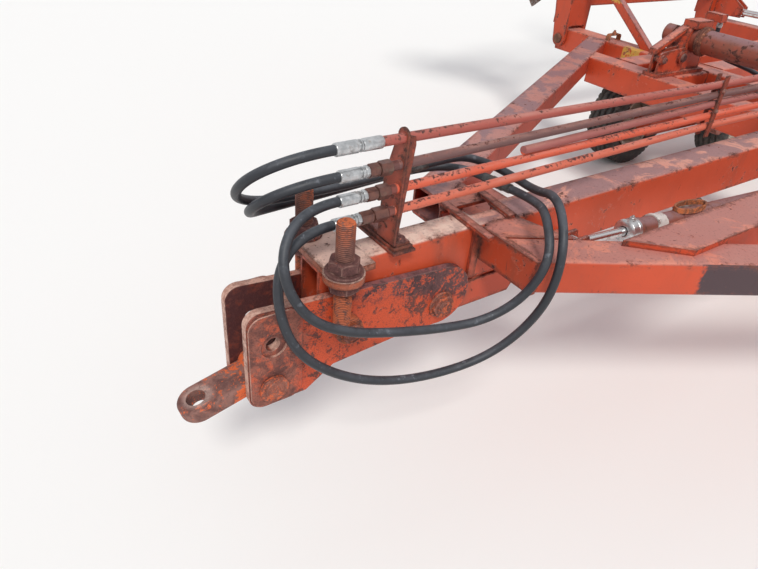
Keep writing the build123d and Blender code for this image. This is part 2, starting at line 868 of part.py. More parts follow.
with BuildPart() as pedestal:
    with BuildSketch(Plane.XY.offset(up(0))):
        with Locations((aft((pedestal_front + pedestal_rear) / 2), inner_rail)):
            Rectangle(pedestal_rear - pedestal_front, 2 * pedestal_base_half)
    extrude(amount=pedestal_base)
    with BuildSketch(side_plane(inner_rail + pedestal_half)):
        with BuildLine():
            Polyline(
                (aft(shaft_station - bearing_front), up(pedestal_base)),
                (aft(shaft_station - bearing_neck_front[0]), up(shaft_z + bearing_neck_front[1])),
                (aft(shaft_station + bearing_neck_rear[0]), up(shaft_z + bearing_neck_rear[1])),
                (aft(shaft_station + bearing_rear), up(pedestal_base)),
                close=True,
            )
        make_face()
        with Locations((aft(shaft_station), up(shaft_z))):
            Circle(pedestal_ring)
    extrude(amount=2 * pedestal_half)
    with BuildSketch(side_plane(inner_rail + pedestal_base_half)):
        with BuildLine():
            Polyline(
                (aft(pedestal_front), up(stay_low[0])),
                (aft(shaft_station - stay_lower_end[0]), up(shaft_z + stay_lower_end[1])),
                (aft(shaft_station - stay_upper_end[0]), up(shaft_z + stay_upper_end[1])),
                (aft(pedestal_front), up(stay_low[1])),
                close=True,
            )
        make_face()
    extrude(amount=pedestal_base_half)
    for inner_y in (inner_rail + pedestal_half, inner_rail - pedestal_half):
        with BuildSketch(side_plane(inner_y)):
            with BuildLine():
                Polyline(
                    (aft(pedestal_front), up(pedestal_base)),
                    (aft(pedestal_front), up(lug_front_rise[0])),
                    (aft(pedestal_front + lug_slope), up(lug_front_rise[1])),
                    (aft(shaft_station - lug_rear_top[0]), up(lug_rear_top[1])),
                    (aft(shaft_station - lug_rear), up(pedestal_base)),
                    close=True,
                )
            make_face()
        extrude(amount=pedestal_lug)
    for station, height, head in pedestal_pins:
        near_face = inner_rail - pedestal_half - pedestal_lug
        add(cylinder_y(station, up(height), pedestal_pin_radius, inner_rail + pedestal_half,
                       inner_rail + pedestal_half - near_face))
        add(cylinder_y(station, up(height), head, near_face, pedestal_pin_head_height))
    with BuildSketch(Plane.XY.offset(up(shaft_z + pedestal_ring - pedestal_cap_sunk))):
        with Locations((aft(shaft_station + pedestal_cap_back), inner_rail)):
            Rectangle(pedestal_cap[0], pedestal_cap[1])
    extrude(amount=pedestal_cap[2])
    add(cylinder_y(shaft_station, up(shaft_z), shaft_radius + running_gap,
                   inner_rail + 2 * pedestal_base_half, 4 * pedestal_base_half), mode=Mode.SUBTRACT)
save(both_sides(pedestal.part), "rockshaft_pedestals")

# Tandem axles: a walking beam with the front wheel outside it and the rear wheel inside
beam_thickness = 100.0
beam_half_height = 60.0
tyre_radius = 330.0
tyre_half = 120.0
wheel_base = 850.0
spindle_radius = 30.0
spindle_reach = 70.0
wheel_gap = 10.0
beam_end = 60.0
beam_crown = (80.0, 75.0)
outer_wheel_y = beam_y + beam_thickness / 2 + wheel_gap + tyre_half
inner_wheel_y = beam_y - beam_thickness / 2 - wheel_gap - tyre_half
front_axle = tandem_station - wheel_base / 2
rear_axle = tandem_station + wheel_base / 2
axle_z = tyre_radius

with BuildPart() as walking_beam:
    with BuildSketch(side_plane(beam_y + beam_thickness / 2)):
        with BuildLine():
            Polyline(
                (aft(front_axle) + beam_end, axle_z + beam_half_height),
                (aft(tandem_station) + beam_crown[0], tandem_z + beam_crown[1]),
                (aft(tandem_station) - beam_crown[0], tandem_z + beam_crown[1]),
                (aft(rear_axle) - beam_end, axle_z + beam_half_height),
                (aft(rear_axle) - beam_end, axle_z - beam_half_height),
                (aft(front_axle) + beam_end, axle_z - beam_half_height),
                close=True,
            )
        make_face()
        with Locations((aft(tandem_station), tandem_z)):
            Circle(tandem_radius + running_gap, mode=Mode.SUBTRACT)
    extrude(amount=beam_thickness)
    add(cylinder_y(front_axle, axle_z, spindle_radius, outer_wheel_y + spindle_reach,
                   outer_wheel_y + spindle_reach - beam_y))
    add(cylinder_y(rear_axle, axle_z, spindle_radius, beam_y, beam_y - inner_wheel_y + spindle_reach))
save(walking_beam.part, "walking_beam_left")
save(mirror(walking_beam.part, about=Plane.XZ), "walking_beam_right")

# Wheels: a tyre on a pressed rim with its hub
rim_radius = 190.0
hub_radius = 62.0
tyre_facets = 40
hub_half = 72.0
hub_taper = 0.8
flange_rise = 10.0
flange_inset = 12.0
flange_edge = 6.0
well_depth = 22.0
well_width = 26.0
disc_thickness = 12.0
flange_outside = 11.0
bead_share = 0.7
front_dish = 20.0


def tyre(centre, half_width, radius, rim):
    """A tyre about an axis along Y, as flat facets that touch its circles from outside."""
    x, y, z = centre
    depth = radius - rim
    bead = bead_share * half_width
    profile = (
        (-bead, rim),
        (-bead, rim + 0.1 * depth),
        (-half_width, rim + 0.4 * depth),
        (-half_width, radius - 0.3 * depth),
        (-0.8 * half_width, radius - 0.06 * depth),
        (-0.6 * half_width, radius),
        (0.6 * half_width, radius),
        (0.8 * half_width, radius - 0.06 * depth),
        (half_width, radius - 0.3 * depth),
        (half_width, rim + 0.4 * depth),
        (bead, rim + 0.1 * depth),
        (bead, rim),
    )
    step = 2 * math.pi / tyre_facets

    def corner_at(point, index):
        across, reach = point
        reach = reach / math.cos(step / 2)
        angle = (index - 0.5) * step
        return (x + reach * math.sin(angle), y + across, z - reach * math.cos(angle))

    facets = []
    for index in range(tyre_facets):
        for first, second in zip(profile, profile[1:] + profile[:1]):
            facets.append(Face(Wire.make_polygon([
                corner_at(first, index),
                corner_at(second, index),
                corner_at(second, index + 1),
                corner_at(first, index + 1),
            ])))
    with BuildPart() as piece:
        add(Solid(Shell(facets)))
    return piece.part


def rim(centre, half_width, rim_size, bore, dish):
    """A rim with a dished disc and hub, bored for its spindle; dish is the disc's offset."""
    x, y, z = centre
    inner = rim_size - well_depth
    with BuildPart() as piece:
        with BuildSketch(Plane(origin=(x, y, z), x_dir=(0, 1, 0), z_dir=(1, 0, 0))):
            with BuildLine():
                Polyline(
                    (-half_width, rim_size - flange_inset),
                    (-half_width, rim_size + flange_rise),
                    (-half_width + flange_edge, rim_size + flange_rise),
                    (-half_width + flange_rise, rim_size),
                    (half_width - flange_rise, rim_size),
                    (half_width - flange_edge, rim_size + flange_rise),
                    (half_width, rim_size + flange_rise),
                    (half_width, rim_size - flange_inset),
                    (half_width - well_width, inner),
                    (dish + disc_thickness / 2, inner),
                    (dish + disc_thickness / 2, hub_radius),
                    (hub_half, hub_radius * hub_taper),
                    (hub_half, bore),
                    (-hub_half, bore),
                    (-hub_half, hub_radius * hub_taper),
                    (dish - disc_thickness / 2, hub_radius),
                    (dish - disc_thickness / 2, inner),
                    (-half_width + well_width, inner),
                    close=True,
                )
            make_face()
        revolve(axis=Axis((x, y, z), (0, 1, 0)), revolution_arc=360)
    return piece.part


wheel_places = (
    ("front", (aft(front_axle), outer_wheel_y, axle_z), 1),
    ("rear", (aft(rear_axle), inner_wheel_y, axle_z), -1),
)
rim_half = bead_share * tyre_half + flange_outside
for name, centre, outward in wheel_places:
    tyre_piece = tyre(centre, tyre_half, tyre_radius, rim_radius + seat_gap)
    rim_piece = rim(centre, rim_half, rim_radius, spindle_radius + running_gap, outward * front_dish)
    save(tyre_piece, f"tyre_{name}_left")
    save(mirror(tyre_piece, about=Plane.XZ), f"tyre_{name}_right")
    save(rim_piece, f"rim_{name}_left")
    save(mirror(rim_piece, about=Plane.XZ), f"rim_{name}_right")

# Wings: drawn at work, level with the ground, then folded about their hinge pins
fold_angle = 90.0
wing_drop = 100.0
wing_start_out = 90.0
wing_low = -hinge_drop - wing_drop
wing_top = wing_low + tube
wing_start = hinge_y + wing_start_out
wing_front_end = 4330.0
wing_rear_end = 4700.0
wing_rails = (2240.0, 3300.0, 4250.0)
wing_tools = ((middle_row, 2 * row_pitch), (rear_row, 3 * row_pitch))
arm_round = 52.0
arm_root = 2230.0
lug_reach = 150.0
lug_rise = 260.0
lug_y = hinge_y + lug_reach
lug_height = -hinge_drop + lug_rise
lug_foot = (50.0, 190.0)
lug_head = (40.0, 30.0)
cylinder_station = rear_row
rod_eye_half = 22.0
rod_eye_radius = 36.0
rod_pin_head = 26.0
rod_pin_head_height = 10.0
lug_gap = 3.0
lug_plate = 14.0
gauge_radius = 280.0
gauge_half = 66.0
gauge_rim_radius = 150.0
gauge_ahead = 432.0
gauge_arm = 76.0
gauge_arm_height = 90.0
gauge_arm_rise = 30.0
gauge_arm_y = 3430.0
gauge_post = 60.0
gauge_offset = 120.0
gauge_reach = 210.0
gauge_axle = 25.0
gauge_dish = 10.0
fold_axis = Axis((0, hinge_y, up(-hinge_drop)), (1, 0, 0))


def folded(piece):
    """Turn a wing piece from its working place to its folded one."""
    return piece.rotate(fold_axis, fold_angle)


def hinge_arm(front, thickness):
    """Upright plate of a wing's arm: a round eye on the pin, widening to the wing's tube."""
    with BuildPart() as piece:
        with BuildSketch(Plane.YZ.offset(aft(front + thickness))):
            with BuildLine():
                Polyline(
                    (hinge_y, up(-hinge_drop - arm_round)),
                    (arm_root, up(wing_low)),
                    (arm_root, up(wing_top)),
                    (wing_start, up(wing_top)),
                    (hinge_y, up(-hinge_drop + arm_round)),
                    close=True,
                )
            make_face()
            with Locations((hinge_y, up(-hinge_drop))):
                Circle(arm_round)
                Circle(hinge_pin_radius + running_gap, mode=Mode.SUBTRACT)
        extrude(amount=thickness)
    return piece.part


def arm_filler(front, thickness):
    """Pad between a hinge arm and the wing's tube."""
    with BuildPart() as piece:
        with BuildSketch(Plane.YZ.offset(aft(front + thickness))):
            with Locations(((wing_start + arm_root) / 2, up(wing_low + half_tube))):
                Rectangle(arm_root - wing_start, tube)
        extrude(amount=thickness)
    return piece.part


def wing_tube(front, y_end):
    """Cross tube of a wing."""
    with BuildPart() as piece:
        with BuildSketch(side_plane(y_end)):
            with Locations((aft(front + half_tube), up(wing_low + half_tube))):
                RectangleRounded(tube, tube, corner)
        extrude(amount=y_end - wing_start)
    return piece.part


with BuildPart() as wing_frame:
    add(wing_tube(middle_tube_front, wing_front_end))
    add(wing_tube(rear_tube_front, wing_rear_end))
    for y in wing_rails:
        add(rail(middle_tube_rear, rear_tube_front, y, wing_top))
    for front in (middle_tube_front, rear_tube_front):
        add(hinge_arm(front - arm_gap - arm_thickness, arm_thickness))
        add(hinge_arm(front + tube + arm_gap, arm_thickness))
        add(arm_filler(front - arm_gap, arm_gap + corner))
        add(arm_filler(front + tube - corner, arm_gap + corner))
    for toward in (-1, 1):
        inner_face = cylinder_station + toward * (rod_eye_half + lug_gap)
        outer_face = inner_face + toward * lug_plate
        with BuildSketch(Plane.YZ.offset(aft(inner_face))):
            with BuildLine():
                Polyline(
                    (lug_y - lug_foot[0], up(wing_top - corner)),
                    (lug_y + lug_foot[1], up(wing_top - corner)),
                    (lug_y + lug_head[0], up(lug_height + lug_head[1])),
                    (lug_y - lug_head[0], up(lug_height + lug_head[1])),
                    close=True,
                )
            make_face()
        extrude(amount=-toward * lug_plate)
        with BuildSketch(Plane.YZ.offset(aft(outer_face))):
            with Locations((lug_y, up(lug_height))):
                Circle(rod_pin_head)
        extrude(amount=-toward * rod_pin_head_height)
    with BuildSketch(Plane.XY.offset(up(wing_low + gauge_arm_rise))):
        with Locations((aft(middle_tube_front - gauge_ahead / 2 - gauge_arm / 4), gauge_arm_y)):
            Rectangle(gauge_ahead + gauge_arm / 2, gauge_arm)
    extrude(amount=gauge_arm_height)
    with BuildSketch(Plane.XY.offset(gauge_radius)):
        with Locations((aft(middle_tube_front - gauge_ahead), gauge_arm_y)):
            Rectangle(gauge_arm, gauge_post)
    extrude(amount=up(wing_low + gauge_arm_rise) - gauge_radius)
    add(cylinder_y(middle_tube_front - gauge_ahead, gauge_radius, gauge_axle,
                   gauge_arm_y + gauge_reach, gauge_reach))
save(folded(wing_frame.part), "wing_frame_left")
save(mirror(folded(wing_frame.part), about=Plane.XZ), "wing_frame_right")

with BuildPart() as wing_standards:
    for station, y in wing_tools:
        add(standard(station, y, up(wing_low)))
save(folded(wing_standards.part), "wing_standards_left")
save(mirror(folded(wing_standards.part), about=Plane.XZ), "wing_standards_right")

with BuildPart() as wing_blades:
    for station, y in wing_tools:
        add(blade(station, y))
save(folded(wing_blades.part), "wing_blades_left")
save(mirror(folded(wing_blades.part), about=Plane.XZ), "wing_blades_right")

gauge_centre = (aft(middle_tube_front - gauge_ahead), gauge_arm_y + gauge_offset, gauge_radius)
gauge_rim_half = bead_share * gauge_half + flange_outside
gauge_tyre = folded(tyre(gauge_centre, gauge_half, gauge_radius, gauge_rim_radius + seat_gap))
gauge_rim = folded(rim(gauge_centre, gauge_rim_half, gauge_rim_radius, gauge_axle + running_gap, gauge_dish))
save(gauge_tyre, "gauge_tyre_left")
save(mirror(gauge_tyre, about=Plane.XZ), "gauge_tyre_right")
save(gauge_rim, "gauge_rim_left")
save(mirror(gauge_rim, about=Plane.XZ), "gauge_rim_right")

# Fold cylinders: barrel pinned to a tower on the middle tube, rod pinned to the wing's lug
tower_y = 420.0
tower_z = 110.0
tower_pin_radius = 20.0
barrel_eye_half = 25.0
barrel_eye_radius = 38.0
barrel_radius = 51.0
barrel_length = 1000.0
barrel_start = 120.0
barrel_gland = 50.0
barrel_gland_rise = 7.0
tower_plate = 14.0
tower_gap = 2.0
tower_foot = (110.0, 90.0)
tower_head = (42.0, 36.0)
tower_pin_half = 52.0
fold_rod_radius = 25.0
rod_tail = 300.0
rod_tail_gap = 10.0
turn = math.radians(fold_angle)
lug_dy = lug_y - hinge_y
lug_dz = lug_height + hinge_drop
folded_lug_y = hinge_y + lug_dy * math.cos(turn) - lug_dz * math.sin(turn)
folded_lug_z = -hinge_drop + lug_dy * math.sin(turn) + lug_dz * math.cos(turn)
closed_length = math.hypot(folded_lug_y - tower_y, folded_lug_z - tower_z)
cylinder_dir = ((folded_lug_y - tower_y) / closed_length, (folded_lug_z - tower_z) / closed_length)
open_length = math.hypot(lug_y - tower_y, lug_height - tower_z)
print("fold cylinder closed, open:", closed_length, open_length)
print("barrel turn:", math.degrees(math.atan2(lug_height - tower_z, lug_y - tower_y)
                                   - math.atan2(cylinder_dir[1], cylinder_dir[0])))


def along_cylinder(distance):
    """Plane across the fold cylinder's axis at a distance from its tower pin."""
    return Plane(
        origin=(
            aft(cylinder_station),
            tower_y + cylinder_dir[0] * distance,
            up(tower_z + cylinder_dir[1] * distance),
        ),
        x_dir=(1, 0, 0),
        z_dir=(0, cylinder_dir[0], cylinder_dir[1]),
    )


def eye_x_axis(y, z, radius, half):
    """A disc about an axis along X, centred on the cylinder's station."""
    with BuildPart() as piece:
        with BuildSketch(Plane.YZ.offset(aft(cylinder_station + half))):
            with Locations((y, up(z))):
                Circle(radius)
        extrude(amount=2 * half)
    return piece.part


with BuildPart() as fold_barrel:
    with BuildSketch(along_cylinder(0)):
        Circle(barrel_eye_half - 1)
    extrude(amount=barrel_start + 1)
    with BuildSketch(along_cylinder(barrel_start)):
        Circle(barrel_radius)
    extrude(amount=barrel_length - barrel_start)
    with BuildSketch(along_cylinder(barrel_length - barrel_gland)):
        Circle(barrel_radius + barrel_gland_rise)
    extrude(amount=barrel_gland)
    add(eye_x_axis(tower_y, tower_z, barrel_eye_radius, barrel_eye_half))
    with BuildSketch(Plane.YZ.offset(aft(cylinder_station + tower_pin_half))):
        with Locations((tower_y, up(tower_z))):
            Circle(tower_pin_radius + running_gap)
    extrude(amount=2 * tower_pin_half, mode=Mode.SUBTRACT)
    with BuildSketch(along_cylinder(barrel_length + 1)):
        Circle(fold_rod_radius + seat_gap)
    extrude(amount=-(barrel_length + 1 - rod_tail + rod_tail_gap), mode=Mode.SUBTRACT)
save(fold_barrel.part, "fold_barrel_left")
save(mirror(fold_barrel.part, about=Plane.XZ), "fold_barrel_right")

with BuildPart() as fold_rod:
    with BuildSketch(along_cylinder(rod_tail)):
        Circle(fold_rod_radius)
    extrude(amount=closed_length - rod_tail - rod_eye_radius / 2)
    add(eye_x_axis(folded_lug_y, folded_lug_z, rod_eye_radius, rod_eye_half))
save(fold_rod.part, "fold_rod_left")
save(mirror(fold_rod.part, about=Plane.XZ), "fold_rod_right")

with BuildPart() as tower:
    for offset in (-1, 1):
        middle = cylinder_station + offset * (barrel_eye_half + tower_gap + tower_plate / 2)
        with BuildSketch(Plane.YZ.offset(aft(middle + tower_plate / 2))):
            with BuildLine():
                Polyline(
                    (tower_y - tower_foot[0], up(0)),
                    (tower_y + tower_foot[1], up(0)),
                    (tower_y + tower_head[0], up(tower_z + tower_head[1])),
                    (tower_y - tower_head[0], up(tower_z + tower_head[1])),
                    close=True,
                )
            make_face()
        extrude(amount=tower_plate)
    with BuildSketch(Plane.YZ.offset(aft(cylinder_station + tower_pin_half))):
        with Locations((tower_y, up(tower_z))):
            Circle(tower_pin_radius)
    extrude(amount=2 * tower_pin_half)
save(both_sides(tower.part), "cylinder_towers")

# Lift cylinder along the tongue: rod forward, barrel and push tube pinned to the lever
lift_lug_station = 1180.0
lift_lug_z = -60.0
lift_rod_radius = 16.0
lift_barrel_radius = 33.0
lift_gland_station = 1450.0
lift_rod_tail = 1560.0
lift_eye_radius = 26.0
lift_eye_half = 15.0
lift_plate = 12.0
lift_pin_head = 20.0
lift_pin_head_height = 10.0
lift_bore_end = 1730.0
lift_barrel_eye = 36.0
lift_neck_length = 80.0
push_tube_start = 76.0
push_tube_length = 900.0
push_tube_thinner = 6.0
lift_gland_length = 70.0
lift_gland_rise = 5.0
lift_lug_foot = (70.0, 60.0)
lift_lug_head = (35.0, 32.0)
lift_run = lever_pin_station - lift_lug_station
lift_rise = lift_lug_z - lever_pin_z
lift_length = math.hypot(lift_run, lift_rise)
lift_dir = (lift_run / lift_length, lift_rise / lift_length)
print("lift cylinder length:", lift_length, "lever pin", lever_pin_station, lever_pin_z)


def along_lift(station):
    """Plane across the lift cylinder's axis at a station, facing forward."""
    distance = lever_pin_station - station
    return Plane(
        origin=(aft(station), lever_y, up(lever_pin_z + distance * lift_rise / lift_run)),
        x_dir=(0, 1, 0),
        z_dir=(lift_dir[0], 0, lift_dir[1]),
    )


with BuildPart() as lift_barrel:
    with BuildSketch(along_lift(lever_pin_station)):
        Circle(lever_width / 2 - 0.5)
    extrude(amount=lift_neck_length)
    with BuildSketch(along_lift(lever_pin_station - push_tube_start)):
        Circle(lift_barrel_radius - push_tube_thinner)
    extrude(amount=push_tube_length)
    with BuildSketch(along_lift(lever_pin_station - push_tube_length)):
        Circle(lift_barrel_radius)
    extrude(amount=(lever_pin_station - push_tube_length - lift_gland_station) / lift_dir[0])
    with BuildSketch(along_lift(lift_gland_station + lift_gland_length)):
        Circle(lift_barrel_radius + lift_gland_rise)
    extrude(amount=lift_gland_length)
    add(cylinder_y(lever_pin_station, up(lever_pin_z), lift_barrel_eye, lever_y + lever_width / 2 - 0.5,
                   lever_width - 1))
    add(cylinder_y(lever_pin_station, up(lever_pin_z), lever_pin_radius + running_gap,
                   lever_y + lever_width, 2 * lever_width), mode=Mode.SUBTRACT)
    with BuildSketch(along_lift(lift_gland_station - 1)):
        Circle(lift_rod_radius + seat_gap)
    extrude(amount=-(lift_bore_end - lift_gland_station + 1), mode=Mode.SUBTRACT)
save(lift_barrel.part, "lift_barrel")

with BuildPart() as lift_rod:
    with BuildSketch(along_lift(lift_rod_tail)):
        Circle(lift_rod_radius)
    extrude(amount=(lift_rod_tail - lift_lug_station) / lift_dir[0] - lift_eye_radius / 2)
    add(cylinder_y(lift_lug_station, up(lift_lug_z), lift_eye_radius, lever_y + lift_eye_half, 2 * lift_eye_half))
save(lift_rod.part, "lift_rod")

with BuildPart() as lift_lug:
    for toward in (1, -1):
        inner_face = lever_y + toward * (lift_eye_half + lug_gap)
        with BuildSketch(side_plane(inner_face)):
            with BuildLine():
                Polyline(
                    (aft(lift_lug_station - lift_lug_foot[0]), up(-leg_height + web_thickness)),
                    (aft(lift_lug_station + lift_lug_foot[1]), up(-leg_height + web_thickness)),
                    (aft(lift_lug_station + lift_lug_head[0]), up(lift_lug_z + lift_lug_head[1])),
                    (aft(lift_lug_station - lift_lug_head[0]), up(lift_lug_z + lift_lug_head[1])),
                    close=True,
                )
            make_face()
        extrude(amount=-toward * lift_plate)
        with BuildSketch(side_plane(inner_face + toward * lift_plate)):
            with Locations((aft(lift_lug_station), up(lift_lug_z))):
                Circle(lift_pin_head)
        extrude(amount=-toward * lift_pin_head_height)
save(lift_lug.part, "lift_lug")

# Pipes: four from the stand and a fifth from behind it, stacked above the left half of the tongue
pipe_radius = 13.35
pipe_y = 57.0
pipe_bend = 1500.0
pipe_fall = 4.0
clamp_station = 2000.0
manifold_front = 3010.0
pipe_table = (
    # start station, height at the stand, height at the clamp
    (506.0, 334.0, 319.0),
    (540.0, 262.0, 281.0),
    (1020.0, 226.0, 249.0),
    (540.0, 196.0, 203.0),
    (540.0, 132.0, 162.0),
)
with BuildPart() as pipes:
    for start, front_height, clamp_height in pipe_table:
        with BuildLine() as path:
            FilletPolyline(
                (aft(start), pipe_y, up(front_height)),
                (aft(clamp_station), pipe_y, up(clamp_height)),
                (aft(manifold_front - seat_gap), pipe_y, up(clamp_height - pipe_fall)),
                radius=pipe_bend,
            )
        with BuildSketch(Plane(path.line @ 0, z_dir=path.line % 0)):
            Circle(pipe_radius)
        sweep(path=path.line)
save(pipes.part, "hydraulic_pipes")

manifold_size = (70.0, 54.0, 345.0)
post_station = middle_row
post_y = -930.0
post_size = (60.0, 30.0, 306.0)
post_head = (60.0, 88.0, 44.0)
far_hose_out = 71.0
far_hose_top = (post_station, post_y + far_hose_out, 232.0)
far_hose_end = (manifold_front + manifold_size[0] / 2, -40.0, 150.0)
with BuildPart() as manifold:
    with BuildSketch(Plane.XY.offset(up(0))):
        with Locations((aft(manifold_front + manifold_size[0] / 2), pipe_y)):
            Rectangle(manifold_size[0], manifold_size[1])
    extrude(amount=manifold_size[2])
    with BuildSketch(Plane.XY.offset(up(0))):
        with Locations((aft(post_station), post_y)):
            Rectangle(post_size[0], post_size[1])
    extrude(amount=post_size[2])
    with BuildSketch(Plane.XY.offset(up(post_size[2] - post_head[2]))):
        with Locations((aft(post_station), post_y + post_head[1] / 2)):
            Rectangle(post_head[0], post_head[1])
    extrude(amount=post_head[2])
save(manifold.part, "manifold")

stand_station = 594.0
angle_leg = 44.0
angle_wall = 8.0
base_bar = 10.0
stand_height = 330.0
stand_bars = (
    # level, right end, left end, width
    (0, -120.0, 84.0, 76.0),
    (1, -112.0, 76.0, 64.0),
    (2, -108.0, 70.0, 50.0),
)
clamp_plate = 6.0
clamp_width = 26.0
clamp_height_middle = 240.0
clamp_reach = 230.0
clamp_bolts = (300.0, 226.0)
clamp_bolt_radius = 4.0
clamp_bolt_proud = 8.0
with BuildPart() as pipe_stand:
    for level, low_y, high_y, width in stand_bars:
        with BuildSketch(Plane.XY.offset(up(level * base_bar))):
            with Locations((aft(stand_station), (low_y + high_y) / 2)):
                Rectangle(width, high_y - low_y)
        extrude(amount=base_bar)
    with BuildSketch(Plane.XY.offset(up(3 * base_bar))):
        with Locations((aft(stand_station), pipe_y - pipe_radius - angle_wall / 2)):
            Rectangle(angle_leg, angle_wall)
        with Locations((aft(stand_station + angle_leg / 2 - angle_wall / 2), pipe_y - pipe_radius - angle_leg / 2)):
            Rectangle(angle_wall, angle_leg)
    extrude(amount=stand_height)

with BuildPart() as pipe_clamp:
    for y in (pipe_y - pipe_radius - clamp_plate, pipe_y + pipe_radius):
        with BuildSketch(side_plane(y + clamp_plate)):
            with Locations((aft(clamp_station), up(clamp_height_middle))):
                Rectangle(clamp_width, clamp_reach)
        extrude(amount=clamp_plate)
    bolt_reach = pipe_radius + clamp_plate + clamp_bolt_proud
    for height in clamp_bolts:
        with BuildSketch(side_plane(pipe_y + bolt_reach)):
            with Locations((aft(clamp_station), up(height))):
                Circle(clamp_bolt_radius)
        extrude(amount=2 * bolt_reach)
with BuildPart() as pipe_supports:
    add(pipe_stand.part)
    add(pipe_clamp.part)
save(pipe_supports.part, "pipe_supports")

nut_radius = 18.0
ferrule_radius = 17.0
fitting_table = (
    # end of the pipe, nuts' length, ferrule's length, height
    (506.0, 0.0, 136.0, 334.0),
    (540.0, 70.0, 85.0, 262.0),
    (540.0, 72.0, 81.0, 196.0),
    (540.0, 86.0, 80.0, 132.0),
)
with BuildPart() as hose_fittings:
    for start, nuts, ferrule, height in fitting_table:
        if nuts:
            with BuildSketch(Plane.YZ.offset(aft(start - seat_gap))):
                with Locations((pipe_y, up(height))):
                    RegularPolygon(nut_radius, 6, major_radius=False)
            extrude(amount=nuts)
        with BuildSketch(Plane.YZ.offset(aft(start - nuts - seat_gap))):
            with Locations((pipe_y, up(height))):
                Circle(ferrule_radius)
        extrude(amount=ferrule)
    with BuildSketch(Plane.XY.offset(up(far_hose_top[2]))):
        with Locations((aft(far_hose_top[0]), far_hose_top[1])):
            Circle(ferrule_radius)
    extrude(amount=post_size[2] - post_head[2] - far_hose_top[2] - seat_gap)
    with BuildSketch(side_plane(pipe_y - manifold_size[1] / 2 - seat_gap)):
        with Locations((aft(far_hose_end[0]), up(far_hose_end[2]))):
            Circle(ferrule_radius)
    extrude(amount=pipe_y - manifold_size[1] / 2 - seat_gap - far_hose_end[1])
save(hose_fittings.part, "hose_fittings")

# Hoses: four from the ends of the pipes, plugged together in pairs by couplers, and a fifth from
# the post on the middle tube to the manifold
hose_radius = 13.0
coupler_radius = 17.0
coupler_table = (
    # the two ends of each coupler: station, Y, height
    ((690.0, -144.0, 131.0), (810.0, -126.0, 147.0)),
    ((990.0, -50.0, 101.0), (1005.0, 55.0, 102.0)),
)


def place(point):
    """A point given by station, Y and height above the frame's top."""
    return Vector(aft(point[0]), point[1], up(point[2]))


def hose_start(fitting):
    """Where a hose leaves the ferrule on its pipe."""
    start, nuts, ferrule, height = fitting_table[fitting]
    return (start - nuts - seat_gap - ferrule, pipe_y, height)


with BuildPart() as hose_couplers:
    for first, last in coupler_table:
        axis = place(last) - place(first)
        with BuildSketch(Plane(origin=place(first) + axis.normalized() * seat_gap, z_dir=axis)):
            Circle(coupler_radius)
        extrude(amount=axis.length - 2 * seat_gap)
save(hose_couplers.part, "hose_couplers")

hose_table = (
    # name, first point, points between, last point
    ("hose_1", hose_start(0), (
        (280, 57, 334), (172, 0, 278), (168, -92, 188), (260, -152, 126), (400, -170, 110),
        (561, -163.4, 113.8),
    ), coupler_table[0][0]),
    ("hose_2", hose_start(1), (
        (305, 57, 262), (205, 5, 214), (202, -95, 130), (295, -178, 84), (425, -205, 74),
        (570, -214, 77), (765, -211, 90), (890, -195, 96), (947, -161, 98.5), (981.5, -109.4, 100.4),
    ), coupler_table[1][0]),
    ("hose_3", hose_start(2), (
        (305, 57, 196), (215, 100, 152), (190, 150, 65), (235, 190, -30), (340, 205, -98),
        (480, 217, -142), (635, 238, -172), (770, 272, -168), (853, 318, -88), (893, 345, 40),
        (940, 262, 124), (1018.7, 151, 103),
    ), coupler_table[1][1]),
    ("hose_4", hose_start(3), (
        (300, 57, 132), (205, 90, 80), (185, 125, -30), (215, 160, -145), (310, 187, -240),
        (450, 210, -315), (620, 232, -352), (795, 272, -325), (890, 320, -215), (918, 362, -65),
        (930, 348, 90), (1005, 232, 160), (1065, 100, 104), (1080, -20, 102), (1042, -90, 122),
        (971, -126, 143), (887, -114.5, 157.3),
    ), coupler_table[0][1]),
    ("hose_5", far_hose_top, (
        (3546, -859, 168), (3545, -827, 112.6), (3540, -771.6, 80.6), (3520, -665, 74),
        (3480, -545, 70), (3420, -430, 62), (3350, -345, 54), (3270, -290, 54), (3190, -258, 72),
        (3120, -220, 102), (3068, -165, 132), (3045, -103, 150),
    ), far_hose_end),
)
for name, first, between, last in hose_table:
    points = [place(first)] + [place(point) for point in between] + [place(last)]
    runs = [after - before for before, after in zip(points, points[1:])]
    radii = []
    for before, after in zip(runs, runs[1:]):
        half_turn = math.radians(before.get_angle(after)) / 2
        radii.append(0.45 * min(before.length, after.length) / math.tan(half_turn))
    with BuildPart() as hose:
        with BuildLine() as path:
            FilletPolyline(*points, radius=radii)
        with BuildSketch(Plane(path.line @ 0, z_dir=path.line % 0)):
            Circle(hose_radius)
        sweep(path=path.line)
    length = sum(edge.length for edge in path.edges())
    section = math.pi * hose_radius**2
    print(name, "length", round(length, 1), "smallest radius", round(min(radii)),
          "volume ratio", round(hose.part.volume / (section * length), 3),
          "longest run", round(max(run.length for run in runs)))
    save(hose.part, name)
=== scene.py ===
import math

